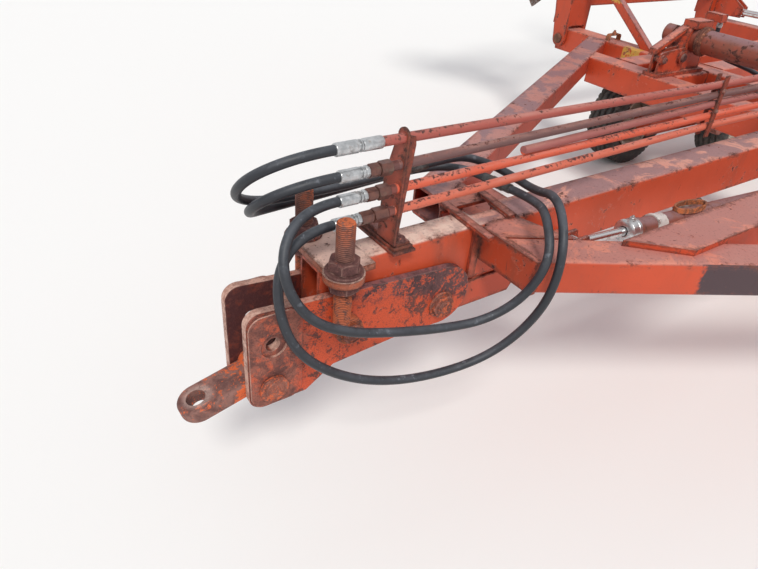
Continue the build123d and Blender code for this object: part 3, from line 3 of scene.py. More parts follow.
import bmesh
import bpy
import numpy as np
from mathutils import Matrix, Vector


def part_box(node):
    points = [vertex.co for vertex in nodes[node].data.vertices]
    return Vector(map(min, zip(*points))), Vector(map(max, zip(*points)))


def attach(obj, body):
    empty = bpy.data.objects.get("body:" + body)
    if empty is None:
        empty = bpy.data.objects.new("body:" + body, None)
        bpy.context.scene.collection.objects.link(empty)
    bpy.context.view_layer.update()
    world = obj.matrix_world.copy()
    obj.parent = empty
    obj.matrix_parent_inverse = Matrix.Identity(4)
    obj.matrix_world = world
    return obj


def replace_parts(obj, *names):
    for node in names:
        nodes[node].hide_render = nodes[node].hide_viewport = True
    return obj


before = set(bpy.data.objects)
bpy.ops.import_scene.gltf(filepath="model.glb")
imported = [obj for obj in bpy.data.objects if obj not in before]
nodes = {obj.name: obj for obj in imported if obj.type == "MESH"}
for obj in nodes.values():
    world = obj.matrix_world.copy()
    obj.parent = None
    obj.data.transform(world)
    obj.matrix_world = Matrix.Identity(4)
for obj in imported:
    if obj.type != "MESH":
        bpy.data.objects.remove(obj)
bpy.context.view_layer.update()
bpy.context.scene.view_settings.view_transform = "Standard"


# ---- Camera: stands in front and to the left of the hitch, 1.78 m up, and looks back and down
# along the tongue, as the photograph does.
camera_place = (3.26297, 1.2348, 1.78)
camera_lens = 29.45
camera_right = (-0.82964917, 0.55328936, 0.07451932)
camera_down = (0.26221857, 0.5040272, -0.82292041)
camera_ahead = (-0.49287288, -0.66319489, -0.56324849)

camera_data = bpy.data.cameras.new("camera")
camera_data.lens = camera_lens
camera_data.sensor_width = 36.0
camera_data.clip_end = 200.0
camera = bpy.data.objects.new("camera", camera_data)
bpy.context.collection.objects.link(camera)
turned_axes = Matrix([camera_right, [-v for v in camera_down], [-v for v in camera_ahead]]).transposed()
camera.matrix_world = Matrix.Translation(camera_place) @ turned_axes.to_4x4()
bpy.context.scene.camera = camera


# ---- Studio: a pale floor, an even sky and one broad lamp high on the camera's side. The floor
# looks near white to the camera, and keeps the machine's shadow.
floor_half = 40.0
floor_colour = (0.9, 0.895, 0.88)
sky_colour, sky_light = (0.93, 0.95, 1.0), 0.66
seen_colour, seen_light = (0.93, 0.93, 0.92), 1.0
seen_in_gloss = 0.5
lamp_colour, lamp_strength = (1, 0.97, 0.92), 1.9
lamp_spread, lamp_pitch, lamp_roll = 14, -32, 24


def feed(tree, socket, value):
    """Joins a socket to another's output, or sets its value. A colour gets its alpha."""
    value = getattr(value, "socket", value)
    if isinstance(value, bpy.types.NodeSocket):
        tree.links.new(value, socket)
    elif socket.type == "RGBA" and len(value) == 3:
        socket.default_value = (*value, 1)
    else:
        socket.default_value = value


def add_node(tree, kind, inputs=(), **settings):
    """A new shader node: its settings first, then its inputs by name or number."""
    made = tree.nodes.new("ShaderNode" + kind)
    for key, value in settings.items():
        setattr(made, key, value)
    for key, value in dict(inputs).items():
        feed(tree, made.inputs[key], value)
    return made


floor_mesh = bpy.data.meshes.new("floor")
floor_corners = [(a * floor_half, b * floor_half, 0) for a, b in ((-1, -1), (1, -1), (1, 1), (-1, 1))]
floor_mesh.from_pydata(floor_corners, [], [(0, 1, 2, 3)])
floor = bpy.data.objects.new("floor", floor_mesh)
bpy.context.collection.objects.link(floor)
floor_finish = bpy.data.materials.new("floor_finish")
floor_finish.use_nodes = True
floor_shader = floor_finish.node_tree.nodes["Principled BSDF"]
for key, value in (("Base Color", floor_colour), ("Roughness", 0.9), ("Specular IOR Level", 0.1)):
    feed(floor_finish.node_tree, floor_shader.inputs[key], value)
floor_mesh.materials.append(floor_finish)

sky = bpy.data.worlds.new("sky")
bpy.context.scene.world = sky
sky.use_nodes = True
sky_tree = sky.node_tree
sky_lit = sky_tree.nodes["Background"]
feed(sky_tree, sky_lit.inputs["Color"], sky_colour)
feed(sky_tree, sky_lit.inputs["Strength"], sky_light)
sky_seen = add_node(sky_tree, "Background", {"Color": seen_colour, "Strength": seen_light})
sky_rays = add_node(sky_tree, "LightPath")
sky_gloss = add_node(sky_tree, "Math", {0: sky_rays.outputs["Is Glossy Ray"], 1: seen_in_gloss},
                     operation="MULTIPLY")
sky_share = add_node(sky_tree, "Math", {0: sky_rays.outputs["Is Camera Ray"], 1: sky_gloss.outputs[0]},
                     operation="MAXIMUM")
sky_mix = add_node(sky_tree, "MixShader",
                   {0: sky_share.outputs[0], 1: sky_lit.outputs[0], 2: sky_seen.outputs[0]})
sky_tree.links.new(sky_mix.outputs[0], sky_tree.nodes["World Output"].inputs[0])

lamp_data = bpy.data.lights.new("broad_lamp", "SUN")
lamp_data.energy = lamp_strength
lamp_data.angle = math.radians(lamp_spread)
lamp_data.color = lamp_colour
lamp = bpy.data.objects.new("broad_lamp", lamp_data)
lamp.rotation_euler = (math.radians(lamp_pitch), math.radians(lamp_roll), 0)
bpy.context.collection.objects.link(lamp)


# ---- Hydraulic hoses: black rubber over steel braid, 26 mm thick, dulled by weather and scuffed
# pale on top, where dust and a painted highlight lie. Four lead from the pipes and are plugged
# together in pairs beside the hitch, and a fifth joins the post on the middle tube to the manifold.
hitch_x, frame_z = 2.922768, 0.88
hose_radius = 0.013
rubber_black = (0.018, 0.02, 0.026)
rubber_dust_and_sheen = (0.105, 0.115, 0.135)


def spot(station, y, height):
    """A place in metres from its station behind the hitch, its Y and its height above the frame,
    all in millimetres."""
    return hitch_x - station / 1000, y / 1000, frame_z + height / 1000


def maths(operation, a, b=0.0, clamp=False):
    """A pattern worked out from two others, or from a pattern and a number."""
    tree = (a if isinstance(a, Pattern) else b).socket.id_data
    return Pattern(add_node(tree, "Math", {0: a, 1: b}, operation=operation, use_clamp=clamp).outputs[0])


class Pattern:
    """A number that shader nodes work out at each point. Python's own signs join patterns."""

    def __init__(self, socket):
        self.socket = socket

    def __mul__(self, other):
        return maths("MULTIPLY", self, other)

    def __add__(self, other):
        return maths("ADD", self, other)

    def __sub__(self, other):
        return maths("SUBTRACT", self, other)

    def __rsub__(self, other):
        return maths("SUBTRACT", other, self)

    def __truediv__(self, other):
        return maths("DIVIDE", self, other)

    def __abs__(self):
        return maths("ABSOLUTE", self)

    __rmul__ = __mul__

    def ramp(self, low, high):
        """0 at low, 1 at high, smooth between."""
        inputs = {"Value": self, "From Min": low, "From Max": high}
        node = add_node(self.socket.id_data, "MapRange", inputs, interpolation_type="SMOOTHSTEP")
        return Pattern(node.outputs["Result"])

    def between(self, a, b):
        """a where the pattern is 0, b where it is 1."""
        return self * (b - a) + a


class Finish:
    """One material, laid on in coats over its first colour. Patterns lie on Object coordinates,
    in metres."""

    def __init__(self, name, colour=None):
        self.material = bpy.data.materials.new(name)
        self.material.use_nodes = True
        self.tree = self.material.node_tree
        self.place = add_node(self.tree, "TexCoord")
        self.tone = colour

    def noise(self, scale, detail, rough, stretch=(1, 1, 1), warp=0.0):
        """Cloudy pattern from 0 to 1, scale per metre, stretched along the axes."""
        place = add_node(self.tree, "Mapping", {"Vector": self.place.outputs["Object"], "Scale": stretch})
        inputs = {"Vector": place.outputs[0], "Scale": scale, "Detail": detail, "Roughness": rough,
                  "Distortion": warp}
        return Pattern(add_node(self.tree, "TexNoise", inputs).outputs["Fac"])

    def patches(self, low, high, *cloud, **more):
        """Noise cut off below low and above high."""
        return self.noise(*cloud, **more).ramp(low, high)

    def at(self, axis, coordinates="Object"):
        """Object coordinate along an axis, in metres."""
        parts = add_node(self.tree, "SeparateXYZ", {0: self.place.outputs[coordinates]})
        return Pattern(parts.outputs[axis])

    def facing(self, axis):
        """How far the surface faces along an axis, from -1 to 1."""
        return self.at(axis, "Normal")

    def eased(self, width):
        """The surface's normal with its edges rounded over the given width."""
        return add_node(self.tree, "Bevel", {"Radius": width}, samples=4).outputs[0]

    def edges(self, width):
        """0 on a flat, rising to 1 at an outside or inside edge, over the given width."""
        flat = add_node(self.tree, "NewGeometry").outputs["Normal"]
        node = add_node(self.tree, "VectorMath", {0: self.eased(width), 1: flat}, operation="DOT_PRODUCT")
        return maths("MULTIPLY", 1 - Pattern(node.outputs["Value"]), 3.6, clamp=True)

    def blend(self, share, a, b):
        """Colour a where share is 0, colour b where it is 1."""
        return add_node(self.tree, "Mix", {"Factor": share, 6: a, 7: b}, data_type="RGBA").outputs[2]

    def coat(self, share, colour):
        """Lays a colour over the coats below, where share is 1."""
        self.tone = self.blend(share, self.tone, colour)

    def relief(self, height, depth, edge=0.0):
        """Height from 0 to 1 standing proud by depth metres, with edges eased by edge metres."""
        bump = add_node(self.tree, "Bump", {"Distance": depth, "Strength": 1.0, "Height": height})
        if edge:
            feed(self.tree, bump.inputs["Normal"], self.eased(edge))
        self.normal = bump.outputs[0]

    def show(self, roughness, metal=0.0, gloss=0.5):
        """The finished material."""
        shader = self.tree.nodes["Principled BSDF"]
        for key, value in (("Base Color", self.tone), ("Roughness", roughness), ("Metallic", metal),
                           ("Specular IOR Level", gloss), ("Normal", self.normal)):
            feed(self.tree, shader.inputs[key], value)
        return self.material


def shade(colour, share):
    """A colour made darker or lighter."""
    return tuple(min(share * part, 1) for part in colour)


def weathered_rubber(name, black, dust, dusty):
    """Matt black rubber, pale where it faces up and along its scuffs: dust, with a painted highlight on top.
    """
    f = Finish(name, black)
    up = f.facing("Z").ramp(-0.1, 0.95)
    cloud = f.patches(0.34, 0.66, 16, 5, 0.65, warp=0.5).between(0.35, 1.0)
    # Dust and painted highlight: what faces up is laid pale in clouds, and in fine specks below.
    grey = dusty * (up * cloud) + 0.45 * (up * f.patches(0.56, 0.7, 70, 5, 0.7))
    f.coat(grey, dust)
    f.coat(f.patches(0.62, 0.68, 34, 4, 0.6) * up, shade(dust, 1.35))
    f.relief(0.6 * f.noise(420, 3, 0.6) + 0.4 * f.noise(60, 3, 0.6), 0.0004)
    return f.show(grey.between(0.42, 0.68), 0.0, 0.45)


hose_rubber = weathered_rubber("hose_rubber", rubber_black, rubber_dust_and_sheen, 0.62)

hose_routes = (
    # name, length in metres, then the route by station, Y and height in millimetres
    ("hose_1", 0.892, (
        (369.7, 57, 334), (280, 57, 334), (172, 0, 278), (168, -92, 188), (260, -152, 126),
        (400, -170, 110), (561, -163.4, 113.8), (690, -144, 131))),
    ("hose_2", 1.231, (
        (384.7, 57, 262), (305, 57, 262), (205, 5, 214), (202, -95, 130), (295, -178, 84),
        (425, -205, 74), (570, -214, 77), (765, -211, 90), (890, -195, 96), (947, -161, 98.5),
        (981.5, -109.4, 100.4), (990, -50, 101))),
    ("hose_3", 1.559, (
        (386.7, 57, 196), (305, 57, 196), (215, 100, 152), (190, 150, 65), (235, 190, -30),
        (340, 205, -98), (480, 217, -142), (635, 238, -172), (770, 272, -168), (853, 318, -88),
        (893, 345, 40), (940, 262, 124), (1018.7, 151, 103), (1005, 55, 102))),
    ("hose_4", 2.254, (
        (373.7, 57, 132), (300, 57, 132), (205, 90, 80), (185, 125, -30), (215, 160, -145),
        (310, 187, -240), (450, 210, -315), (620, 232, -352), (795, 272, -325), (890, 320, -215),
        (918, 362, -65), (930, 348, 90), (1005, 232, 160), (1065, 100, 104), (1080, -20, 102),
        (1042, -90, 122), (971, -126, 143), (887, -114.5, 157.3), (810, -126, 147))),
    ("hose_5", 1.143, (
        (3546, -859, 232), (3546, -859, 168), (3545, -827, 112.6), (3540, -771.6, 80.6), (3520, -665, 74),
        (3480, -545, 70), (3420, -430, 62), (3350, -345, 54), (3270, -290, 54), (3190, -258, 72),
        (3120, -220, 102), (3068, -165, 132), (3045, -103, 150), (3045, -40, 150))),
)


def hose_curve(name, route):
    """One open NURBS spline of order 3 whose control points are the route's points."""
    curve = bpy.data.curves.new(name, "CURVE")
    curve.dimensions = "3D"
    curve.bevel_depth = hose_radius
    curve.bevel_resolution = 8
    curve.resolution_u = 14
    curve.use_fill_caps = True
    line = curve.splines.new("NURBS")
    line.points.add(len(route) - 1)
    for point, place in zip(line.points, route):
        point.co = (*spot(*place), 1)
    line.order_u = 3
    line.use_endpoint_u = True
    hose = bpy.data.objects.new(name, curve)
    bpy.context.collection.objects.link(hose)
    curve.materials.append(hose_rubber)
    return hose


hoses = {}
for name, length, route in hose_routes:
    hoses[name] = hose_curve(f"rubber_{name}", route)
    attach(hoses[name], "frame")
    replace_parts(hoses[name], name)


# ---- Quick couplings: two plated bodies that join the hoses in pairs, each with a ribbed sleeve
# between two hexagons, black with oil and dirt. Each body is cut at its seam into a socket and a
# plug.
coupling_ends = (((690, -144, 131), (810, -126, 147)), ((990, -50, 101), (1005, 55, 102)))
collar_length, seam_share = 42, 0.49


def grid_shape(points, around, ring):
    """Quads over a grid of points; around joins its last column to the first, ring its last row."""
    count, sides = points.shape[:2]
    row = np.arange(count if ring else count - 1)
    column = np.arange(sides if around else sides - 1)
    r, c = np.meshgrid(row, column, indexing="ij")
    r2, c2 = (r + 1) % count, (c + 1) % sides
    quads = np.stack([r * sides + c, r * sides + c2, r2 * sides + c2, r2 * sides + c], axis=-1)
    return points.reshape(-1, 3), quads.reshape(-1, 4)


def round_shape(radius, height, angle, ring):
    """Rows of points at these radii and heights about the z axis, joined round."""
    points = np.stack([radius * np.cos(angle), radius * np.sin(angle), height], axis=-1)
    return grid_shape(points, True, ring)


def turned(profile, sides=48):
    """Rows of (height, radius) in millimetres turned about the z axis, or of (height, radius,
    flat, corners): at an angle a the radius is then the smaller of radius and flat / cos(a folded
    into one side's sector). The rows close into a ring, and a row of radius 0 closes a pole."""
    rows = np.array([(*row, 0, 1)[:4] for row in profile]) / (1000, 1000, 1000, 1)
    angle = np.linspace(0, 2 * np.pi, sides, endpoint=False)
    sector = 2 * np.pi / rows[:, 3:4]
    folded = np.mod(angle[None, :] + sector / 2, sector) - sector / 2
    limit = np.where(rows[:, 2:3] > 0, rows[:, 2:3] / np.cos(np.clip(folded, -1.4, 1.4)), 1e9)
    radius = np.minimum(rows[:, 1:2], limit)
    height = np.broadcast_to(rows[:, 0:1], radius.shape)
    return round_shape(radius, height, angle, rows[0, 1] > 0 and rows[-1, 1] > 0)


def unit(vectors):
    """Vectors brought to length 1."""
    return vectors / np.linalg.norm(vectors, axis=-1, keepdims=True)


def placed(shape, origin, axis=(0, 0, 1), across=(0, 0, 1)):
    """A shape moved so that its z axis runs along axis from origin, its x axis near across."""
    points, faces = shape
    w, across = unit(np.array(axis, float)), np.array(across, float)
    u = across - w * (across @ w)
    if np.linalg.norm(u) < 1e-6:
        u = np.array((1.0, 0, 0)) - w * w[0]
    u = unit(u)
    return np.array(origin) + points @ np.array([u, np.cross(w, u), w]), faces


def piece(name, shapes, material, sharp=28, body="frame"):
    """One object from closed shapes: points merged, faces outwards, edges sharp over an angle."""
    faces, first = [], 0
    for points, quads in shapes:
        faces.extend((quads + first).tolist())
        first += len(points)
    mesh = bpy.data.meshes.new(name)
    mesh.from_pydata(np.concatenate([points for points, _ in shapes]).tolist(), [], faces)
    work = bmesh.new()
    work.from_mesh(mesh)
    bmesh.ops.remove_doubles(work, verts=work.verts, dist=2e-6)
    bmesh.ops.dissolve_degenerate(work, edges=work.edges, dist=1e-6)
    bmesh.ops.recalc_face_normals(work, faces=work.faces)
    work.to_mesh(mesh)
    work.free()
    mesh.shade_smooth()
    mesh.set_sharp_from_angle(angle=math.radians(sharp))
    thing = bpy.data.objects.new(name, mesh)
    bpy.context.collection.objects.link(thing)
    mesh.materials.append(material)
    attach(thing, body)
    return thing


def plated(name, pale, dark, dirt, metal=0.85):
    """Zinc plate: cloudy silver grey, brown with dirt in patches and in its corners."""
    f = Finish(name, pale)
    cloud = f.noise(55, 4, 0.62)
    limit = 0.6 - 0.2 * dirt
    soil = (f.noise(24, 5, 0.7) + 0.1 * f.edges(0.002)).ramp(limit, limit + 0.14)
    f.coat(cloud.ramp(0.32, 0.68), dark)
    f.coat(0.8 * soil, (0.14, 0.095, 0.07))
    f.relief(0.5 * f.noise(500, 2, 0.5) + 0.5 * cloud, 0.00025, 0.0006)
    return f.show(soil.between(0.3, 0.75), soil.between(metal, 0.1))


def coupling(length):
    """Rows from one hose to the other: collar, hexagon, ribbed sleeve, hexagon and collar."""
    def hexagon(*heights):
        return [(h, r, 14.6, 6) for h, r in zip(heights, (15, 16.9, 16.9, 15))]
    sleeve = ((0.02, 15.8), (0.1, 16.8), (0.24, 16.8), (0.28, 16), (0.32, 16.8), (0.36, 16), (0.4, 16.8),
              (0.44, 16), (0.48, 16.8), (0.86, 16.8), (0.9, 15), (1, 15))
    rows = [(0, 0), (0, 13.5), (1, 15)]
    rows += [(h, 15.2 if k % 2 else 14.6) for k, h in enumerate(np.linspace(4, 26, 9))]
    rows += [(28, 13.8)] + hexagon(28, 29, 41, 42) + [(42, 14)]
    rows += [(collar_length + share * (length - 2 * collar_length), r) for share, r in sleeve]
    rows += hexagon(length - 42, length - 41, length - 29, length - 28)
    return rows + [(length - h, r) for h, r in ((28, 13.8), (26, 15), (3, 15), (0, 13.5), (0, 0))]


black_zinc = plated("black_zinc", (0.1, 0.1, 0.1), (0.05, 0.05, 0.05), 0.5, 0.5)
couplings = {}
for index, (first_end, last_end) in enumerate(coupling_ends, 1):
    start = np.array(spot(*first_end))
    run = spot(*last_end) - start
    length = 1000 * np.linalg.norm(run)
    seam = collar_length + seam_share * (length - 2 * collar_length)
    rows = coupling(length)
    halves = {"socket": [row for row in rows if row[0] < seam] + [(seam, 16.8), (seam, 0)],
              "plug": [(seam, 0), (seam, 16.8)] + [row for row in rows if row[0] > seam]}
    for word, half in halves.items():
        name = f"coupling_{index}_{word}"
        couplings[name] = piece(name, [placed(turned(half), start, run)], black_zinc, 34)
        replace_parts(couplings[name], "hose_couplers")

hose_ends = ("coupling_1_socket", "coupling_2_socket", "coupling_2_plug", "coupling_1_plug", None)
for (name, length, route), end in zip(hose_routes, hose_ends):
    spot(*route[0])


# ---- Hose ends: a plated ferrule crimped on each hose in eight flats, with a neck and a small
# hexagon, then two brown swivel nuts on the pipe.
pipe_y = 57
far_hose_ends = ((29.7, (3546, -859, 232), (0, 0, 1)), (69.5, (3045, -40, 150), (0, 1, 0)))
fitting_rows = (
    # pipe's end, length of the nuts, length of the ferrule, height
    (506, 0, 136, 334),
    (540, 70, 85, 262),
    (540, 72, 81, 196),
    (540, 86, 80, 132),
)


def ferrule(length, sleeved=False):
    """A crimped collar with eight flats, a groove, a ring, a neck and a hexagon, 17 mm in radius.
    The sleeved one ends in a smooth sleeve instead of the hexagon."""
    collar = (0.46 if sleeved else 0.66) * length
    rows = [(0, 0), (0, 13.2), (0.6, 15.8), (3, 16.8), (6, 16.8, 16, 8), (collar * 0.42, 16.8, 16, 8),
            (collar * 0.45, 16.6), (collar * 0.52, 16.6), (collar * 0.55, 16.8, 16, 8),
            (collar - 4, 16.8, 16, 8), (collar - 1, 16.8), (collar, 15), (collar + 2, 11.8),
            (collar + 6, 11.8), (collar + 7, 16), (collar + 11, 16), (collar + 12, 12.2)]
    if sleeved:
        rows += [(collar + 14, 15.2), (collar + 18, 16.6), (length - 5, 16.6), (length - 1, 15),
                 (length, 14.2)]
    else:
        tail = length - 12
        rows += [(max(tail, collar + 14), 12.2), (tail + 1, 14.8, 14.4, 6), (tail + 2, 16.6, 14.4, 6),
                 (length - 1, 16.6, 14.4, 6), (length, 14.8, 14.4, 6)]
    return turned(rows + [(length, 0)])


def hex_nut(length, flat, bore=0, corner=0.98, slope=0.6):
    """A hexagon with both ends turned to a cone, from corner times the flat up to the corners."""
    peak, low = flat / math.cos(math.pi / 6), corner * flat
    cone = [(slope * (peak - low) * t, low + (peak - low) * t, flat, 6) for t in np.linspace(0, 1, 5)]
    back = [(length - h, *rest) for h, *rest in reversed(cone)]
    return turned([(0, bore)] + cone + back + [(length, bore)], 72)


ferrules = [placed(ferrule(length), spot(*place), axis) for length, place, axis in far_hose_ends]
swivel_nuts = []
for start, nuts, length, height in fitting_rows:
    near = start - nuts - 0.3
    ferrules.append(placed(ferrule(length, not nuts), spot(near - length, pipe_y, height), (-1, 0, 0)))
    if nuts:
        first, second = 0.42 * (nuts - 1), 0.5 * (nuts - 1)
        joint = spot(near + first + 3.5, pipe_y, height)
        neck = turned([(-4, 0), (-4, 13), (4, 13), (4, 0)])
        swivel_nuts += [placed(hex_nut(first, 16.2), spot(near, pipe_y, height), (-1, 0, 0), (0, 0.3, 1)),
                        placed(neck, joint, (-1, 0, 0)),
                        placed(hex_nut(second, 18), joint, (-1, 0, 0), (0, 0.05, 1))]
bright_zinc = plated("bright_zinc", (0.62, 0.63, 0.64), (0.42, 0.43, 0.44), 0.12)
brown_zinc = plated("brown_zinc", (0.115, 0.052, 0.045), (0.19, 0.08, 0.06), 0.4, 0.35)
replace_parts(piece("crimped_ferrules", ferrules, bright_zinc, 34), "hose_fittings")
piece("swivel_nuts", swivel_nuts, brown_zinc)


# ---- Frame steel: square and rectangular tube, cut and welded, sprayed orange-red years ago. Sun
# has bleached what faces up to salmon and purple grey, and its edges are chipped down to brown
# rust. The back of the left leg and one patch on the middle tube have lost their colour. The
# rockshaft and the lift cylinder's barrel are browner.
frame_side = (0.6, 0.076, 0.026)
frame_top = (0.66, 0.25, 0.18)
leg_turn = math.radians(29)


def dress(names, material):
    """Gives CAD nodes this material in place of their own."""
    for name in names.split():
        mesh = nodes[name].data
        mesh.materials.clear()
        mesh.materials.append(material)


def worn_paint(name, side, top, chips=0.5, purple=0.5, grime=0.35, zone=None):
    """Old paint: side colour bleached to top where it faces up, blotched, chipped at edges. A
    zone lays coats of its own under the chips."""
    f = Finish(name, side)
    up = f.facing("Z").ramp(0.35, 0.95)
    rim = maths("POWER", f.edges(0.034), 0.5)
    fine = f.noise(130, 4, 0.7)
    f.coat(f.patches(0.3, 0.75, 2.3, 4, 0.6), shade(side, 0.76))
    f.coat(up * f.patches(0.3, 0.7, 5, 5, 0.65, warp=0.6).between(0.8, 1.0), top)
    rubbed = f.patches(0.4, 0.56, 6.5, 6, 0.66, warp=0.5) - 0.6 * rim
    f.coat(purple * (up * rubbed.ramp(0.1, 0.8)), (0.27, 0.15, 0.16))
    streak = f.patches(0.52, 0.78, 9, 4, 0.6, (1, 1, 0.25))
    f.coat(grime * (streak * (1 - up)), (0.16, 0.07, 0.045))
    if zone:
        zone(f)
    f.coat(fine.ramp(0.57, 0.66) * up.between(0.12, 0.62), (0.115, 0.045, 0.045))
    bare = (0.55 * f.noise(38, 6, 0.72, warp=0.4) + 0.45 * f.noise(7, 5, 0.68, warp=0.3)
            + 0.05 * f.edges(0.012) + 0.125 * rim)
    limit = 0.665 - 0.1 * chips
    scratch = f.patches(0.655, 0.668, 17, 6, 0.72, (2.2, 2.2, 0.5), 0.8)
    chip = maths("MAXIMUM", bare.ramp(limit, limit + 0.01), 0.8 * scratch)
    halo = bare.ramp(limit - 0.034, limit + 0.006)
    f.coat(0.6 * halo, tuple(0.35 * a + 0.65 * b for a, b in zip(side, top)))
    f.coat(chip, f.blend(f.patches(0.35, 0.7, 55, 4, 0.6), (0.06, 0.026, 0.024), (0.15, 0.055, 0.035)))
    f.relief(0.75 * (1 - chip) + 0.15 * fine + 0.1 * f.noise(18, 3, 0.5), 0.0012, 0.004)
    return f.show(chip.between(0.46, 0.85), 0.0, 0.4)


def primer_zone(f):
    """Dark primer shows on the left leg's outer face behind station 1355, and on its top corner."""
    outward = (math.sin(leg_turn) * f.facing("X") + math.cos(leg_turn) * f.facing("Y")).ramp(0.45, 0.6)
    ragged = f.at("X") + 0.05 * f.noise(14, 5, 0.7) + 0.03 * f.noise(60, 4, 0.7)
    corner = (1 - ragged.ramp(1.715, 1.755)) * f.at("Z").ramp(0.862, 0.868)
    reach = maths("MAXIMUM", 1 - ragged.ramp(1.6, 1.612), corner * f.edges(0.01).ramp(0.02, 0.2))
    f.coat(outward * reach, (0.07, 0.04, 0.046))


def worn_patch(f):
    """A faded yellow patch, worn through, on the middle tube's front face beyond the rails."""
    def band(axis, low, high):
        place = f.at(axis) + 0.012 * f.noise(45, 5, 0.7)
        return place.ramp(low, low + 0.002) * (1 - place.ramp(high, high + 0.002))
    front = maths("MAXIMUM", f.facing("X").ramp(0.5, 0.6),
                  f.facing("Z").ramp(0.5, 0.6) * f.at("X").ramp(-0.6, -0.594))
    kept = f.patches(0.42, 0.46, 34, 6, 0.72)
    f.coat(front * kept * band("Y", -1.4, -1.268) * band("Z", 0.775, 0.9), (0.6, 0.36, 0.07))


def rest_patch(f):
    """The same yellow, on the front faces of the wings' rests."""
    height = f.at("Z") + 0.05 * f.noise(30, 5, 0.7)
    share = height.ramp(1.135, 1.14) * (1 - height.ramp(1.385, 1.39))
    kept = f.patches(0.44, 0.48, 24, 6, 0.72)
    f.coat(share * kept * f.facing("X").ramp(0.5, 0.6), (0.6, 0.34, 0.06))


dress("side_member front_cross_tube rear_cross_tube inner_rails outer_rails centre_standards "
      "cylinder_towers lift_lug walking_beam_left walking_beam_right wing_frame_left wing_frame_right "
      "wing_standards_left wing_standards_right manifold",
      worn_paint("frame_paint", frame_side, frame_top))
steel_rows = (
    # nodes, paint, side, top, chips, purple, grime, zone
    ("leg_left", "leg_paint", frame_side, frame_top, 0.45, 0.45, 0.3, primer_zone),
    ("leg_right", "far_leg_paint", (0.48, 0.07, 0.035), (0.46, 0.22, 0.19), 0.6, 1.0, 0.5),
    ("middle_cross_tube", "tube_paint", frame_side, frame_top, 0.5, 0.5, 0.35, worn_patch),
    ("wing_rests", "rest_paint", frame_side, (0.42, 0.2, 0.18), 0.7, 0.9, 0.5, rest_patch),
    ("pivot_bracket", "bracket_paint", (0.58, 0.076, 0.028), frame_top, 0.6, 0.3, 0.5),
    # The ear plate's top colour is near white: worn paint with painted sunlight on it.
    ("ear_plate", "ear_paint", (0.4, 0.095, 0.04), (0.76, 0.53, 0.44), 0.62, 0.2, 0.6),
    ("rockshaft_pedestals", "pedestal_paint", (0.56, 0.078, 0.03), frame_top, 0.8, 0.5, 0.5),
    ("rockshaft", "shaft_paint", (0.3, 0.075, 0.045), (0.24, 0.115, 0.095), 0.85, 0.9, 0.6),
    ("lift_barrel", "barrel_paint", (0.25, 0.078, 0.055), (0.27, 0.125, 0.105), 0.6, 0.8, 0.6),
)
for name, *paint in steel_rows:
    dress(name, worn_paint(*paint))


# ---- Tongue: the stub and the beam behind it, box sections whose tops are worn most of all, and
# the straps that are welded skewed across them. The stub's top carries painted sunlight.
def stub_sunlight_zone(f):
    """Painted sunlight: the stub's top, ahead of the straps, is worn pale and painted almost white in blots,
    for the sun's glare on it.
    """
    ahead = (f.at("X") + 0.12 * f.noise(12, 5, 0.7)).ramp(2.02, 2.12)
    blot = f.patches(0.36, 0.62, 26, 5, 0.7).between(0.55, 1.0)
    f.coat(ahead * blot * f.facing("Z").ramp(0.6, 0.9), (0.8, 0.58, 0.48))


dress("tongue_beam", worn_paint("beam_paint", (0.62, 0.085, 0.03), (0.66, 0.33, 0.26), 0.66, 0.85, 0.3,
                                stub_sunlight_zone))
dress("junction_straps", worn_paint("strap_paint", (0.56, 0.078, 0.03), (0.66, 0.24, 0.17), 0.75, 0.35, 0.5))


# ---- Weld beads: rippled steel runs where plates and tubes meet, painted over with the frame.
# Routes are in millimetres: the straps' edges, the cheek pads, the hitch plates and the rails.
beam_half, tube_half, rail_places = 50, 76, (858, 1133)
strap_edges = (((873, -118), (882, 138)), ((855, 142), (903, -121)), ((855, 142), (873, -118)),
               ((882, 138), (903, -121)), ((1038, -115), (1014, 62)), ((1068, -117), (1046, 62)))
tube_faces = (3143, 3470, 3622, 5250)


def bead(route, radius, pitch=0.0052, sides=10):
    """A run of weld along a route of (station, y, height). With s the length along it, its radius
    is R (0.8 + 0.2 |cos(pi s / pitch)|) and falls to nothing at both ends as
    sqrt(1 - (1 - s / R)^2)."""
    corners = np.array([spot(*place) for place in route])
    steps = np.linalg.norm(np.diff(corners, axis=0), axis=1)
    reach = np.concatenate([[0], np.cumsum(steps)])
    s = np.linspace(0, reach[-1], max(int(reach[-1] / (pitch / 4)), 8))
    middle = np.stack([np.interp(s, reach, corners[:, k]) for k in range(3)], axis=1)
    along = unit(np.gradient(middle, axis=0))
    helper = np.where(np.abs(along[:, 2:3]) > 0.9, np.array([[1.0, 0, 0]]), np.array([[0, 0, 1.0]]))
    across = unit(np.cross(along, helper))
    rise = np.cross(across, along)
    end = np.clip(np.minimum(s, reach[-1] - s) / radius, 0, 1)
    size = radius * (0.8 + 0.2 * np.abs(np.cos(np.pi * s / pitch))) * np.sqrt(1 - (1 - end) ** 2)
    angle = np.linspace(0, 2 * np.pi, sides, endpoint=False)
    ring = np.cos(angle)[None, :, None] * across[:, None] + np.sin(angle)[None, :, None] * rise[:, None]
    return grid_shape(middle[:, None] + size[:, None, None] * ring, True, False)


def rounded_route(station, height, half_length, half_height, radius, y):
    """The outline of a rounded rectangle in a plane across Y, as a closed route."""
    angle = np.linspace(0, 2 * np.pi, 49)
    corner_s = np.where(np.cos(angle) >= 0, 1, -1) * (half_length - radius)
    corner_h = np.where(np.sin(angle) >= 0, 1, -1) * (half_height - radius)
    return [(station + a, y, height + b) for a, b in
            zip(corner_s + radius * np.cos(angle), corner_h + radius * np.sin(angle))]


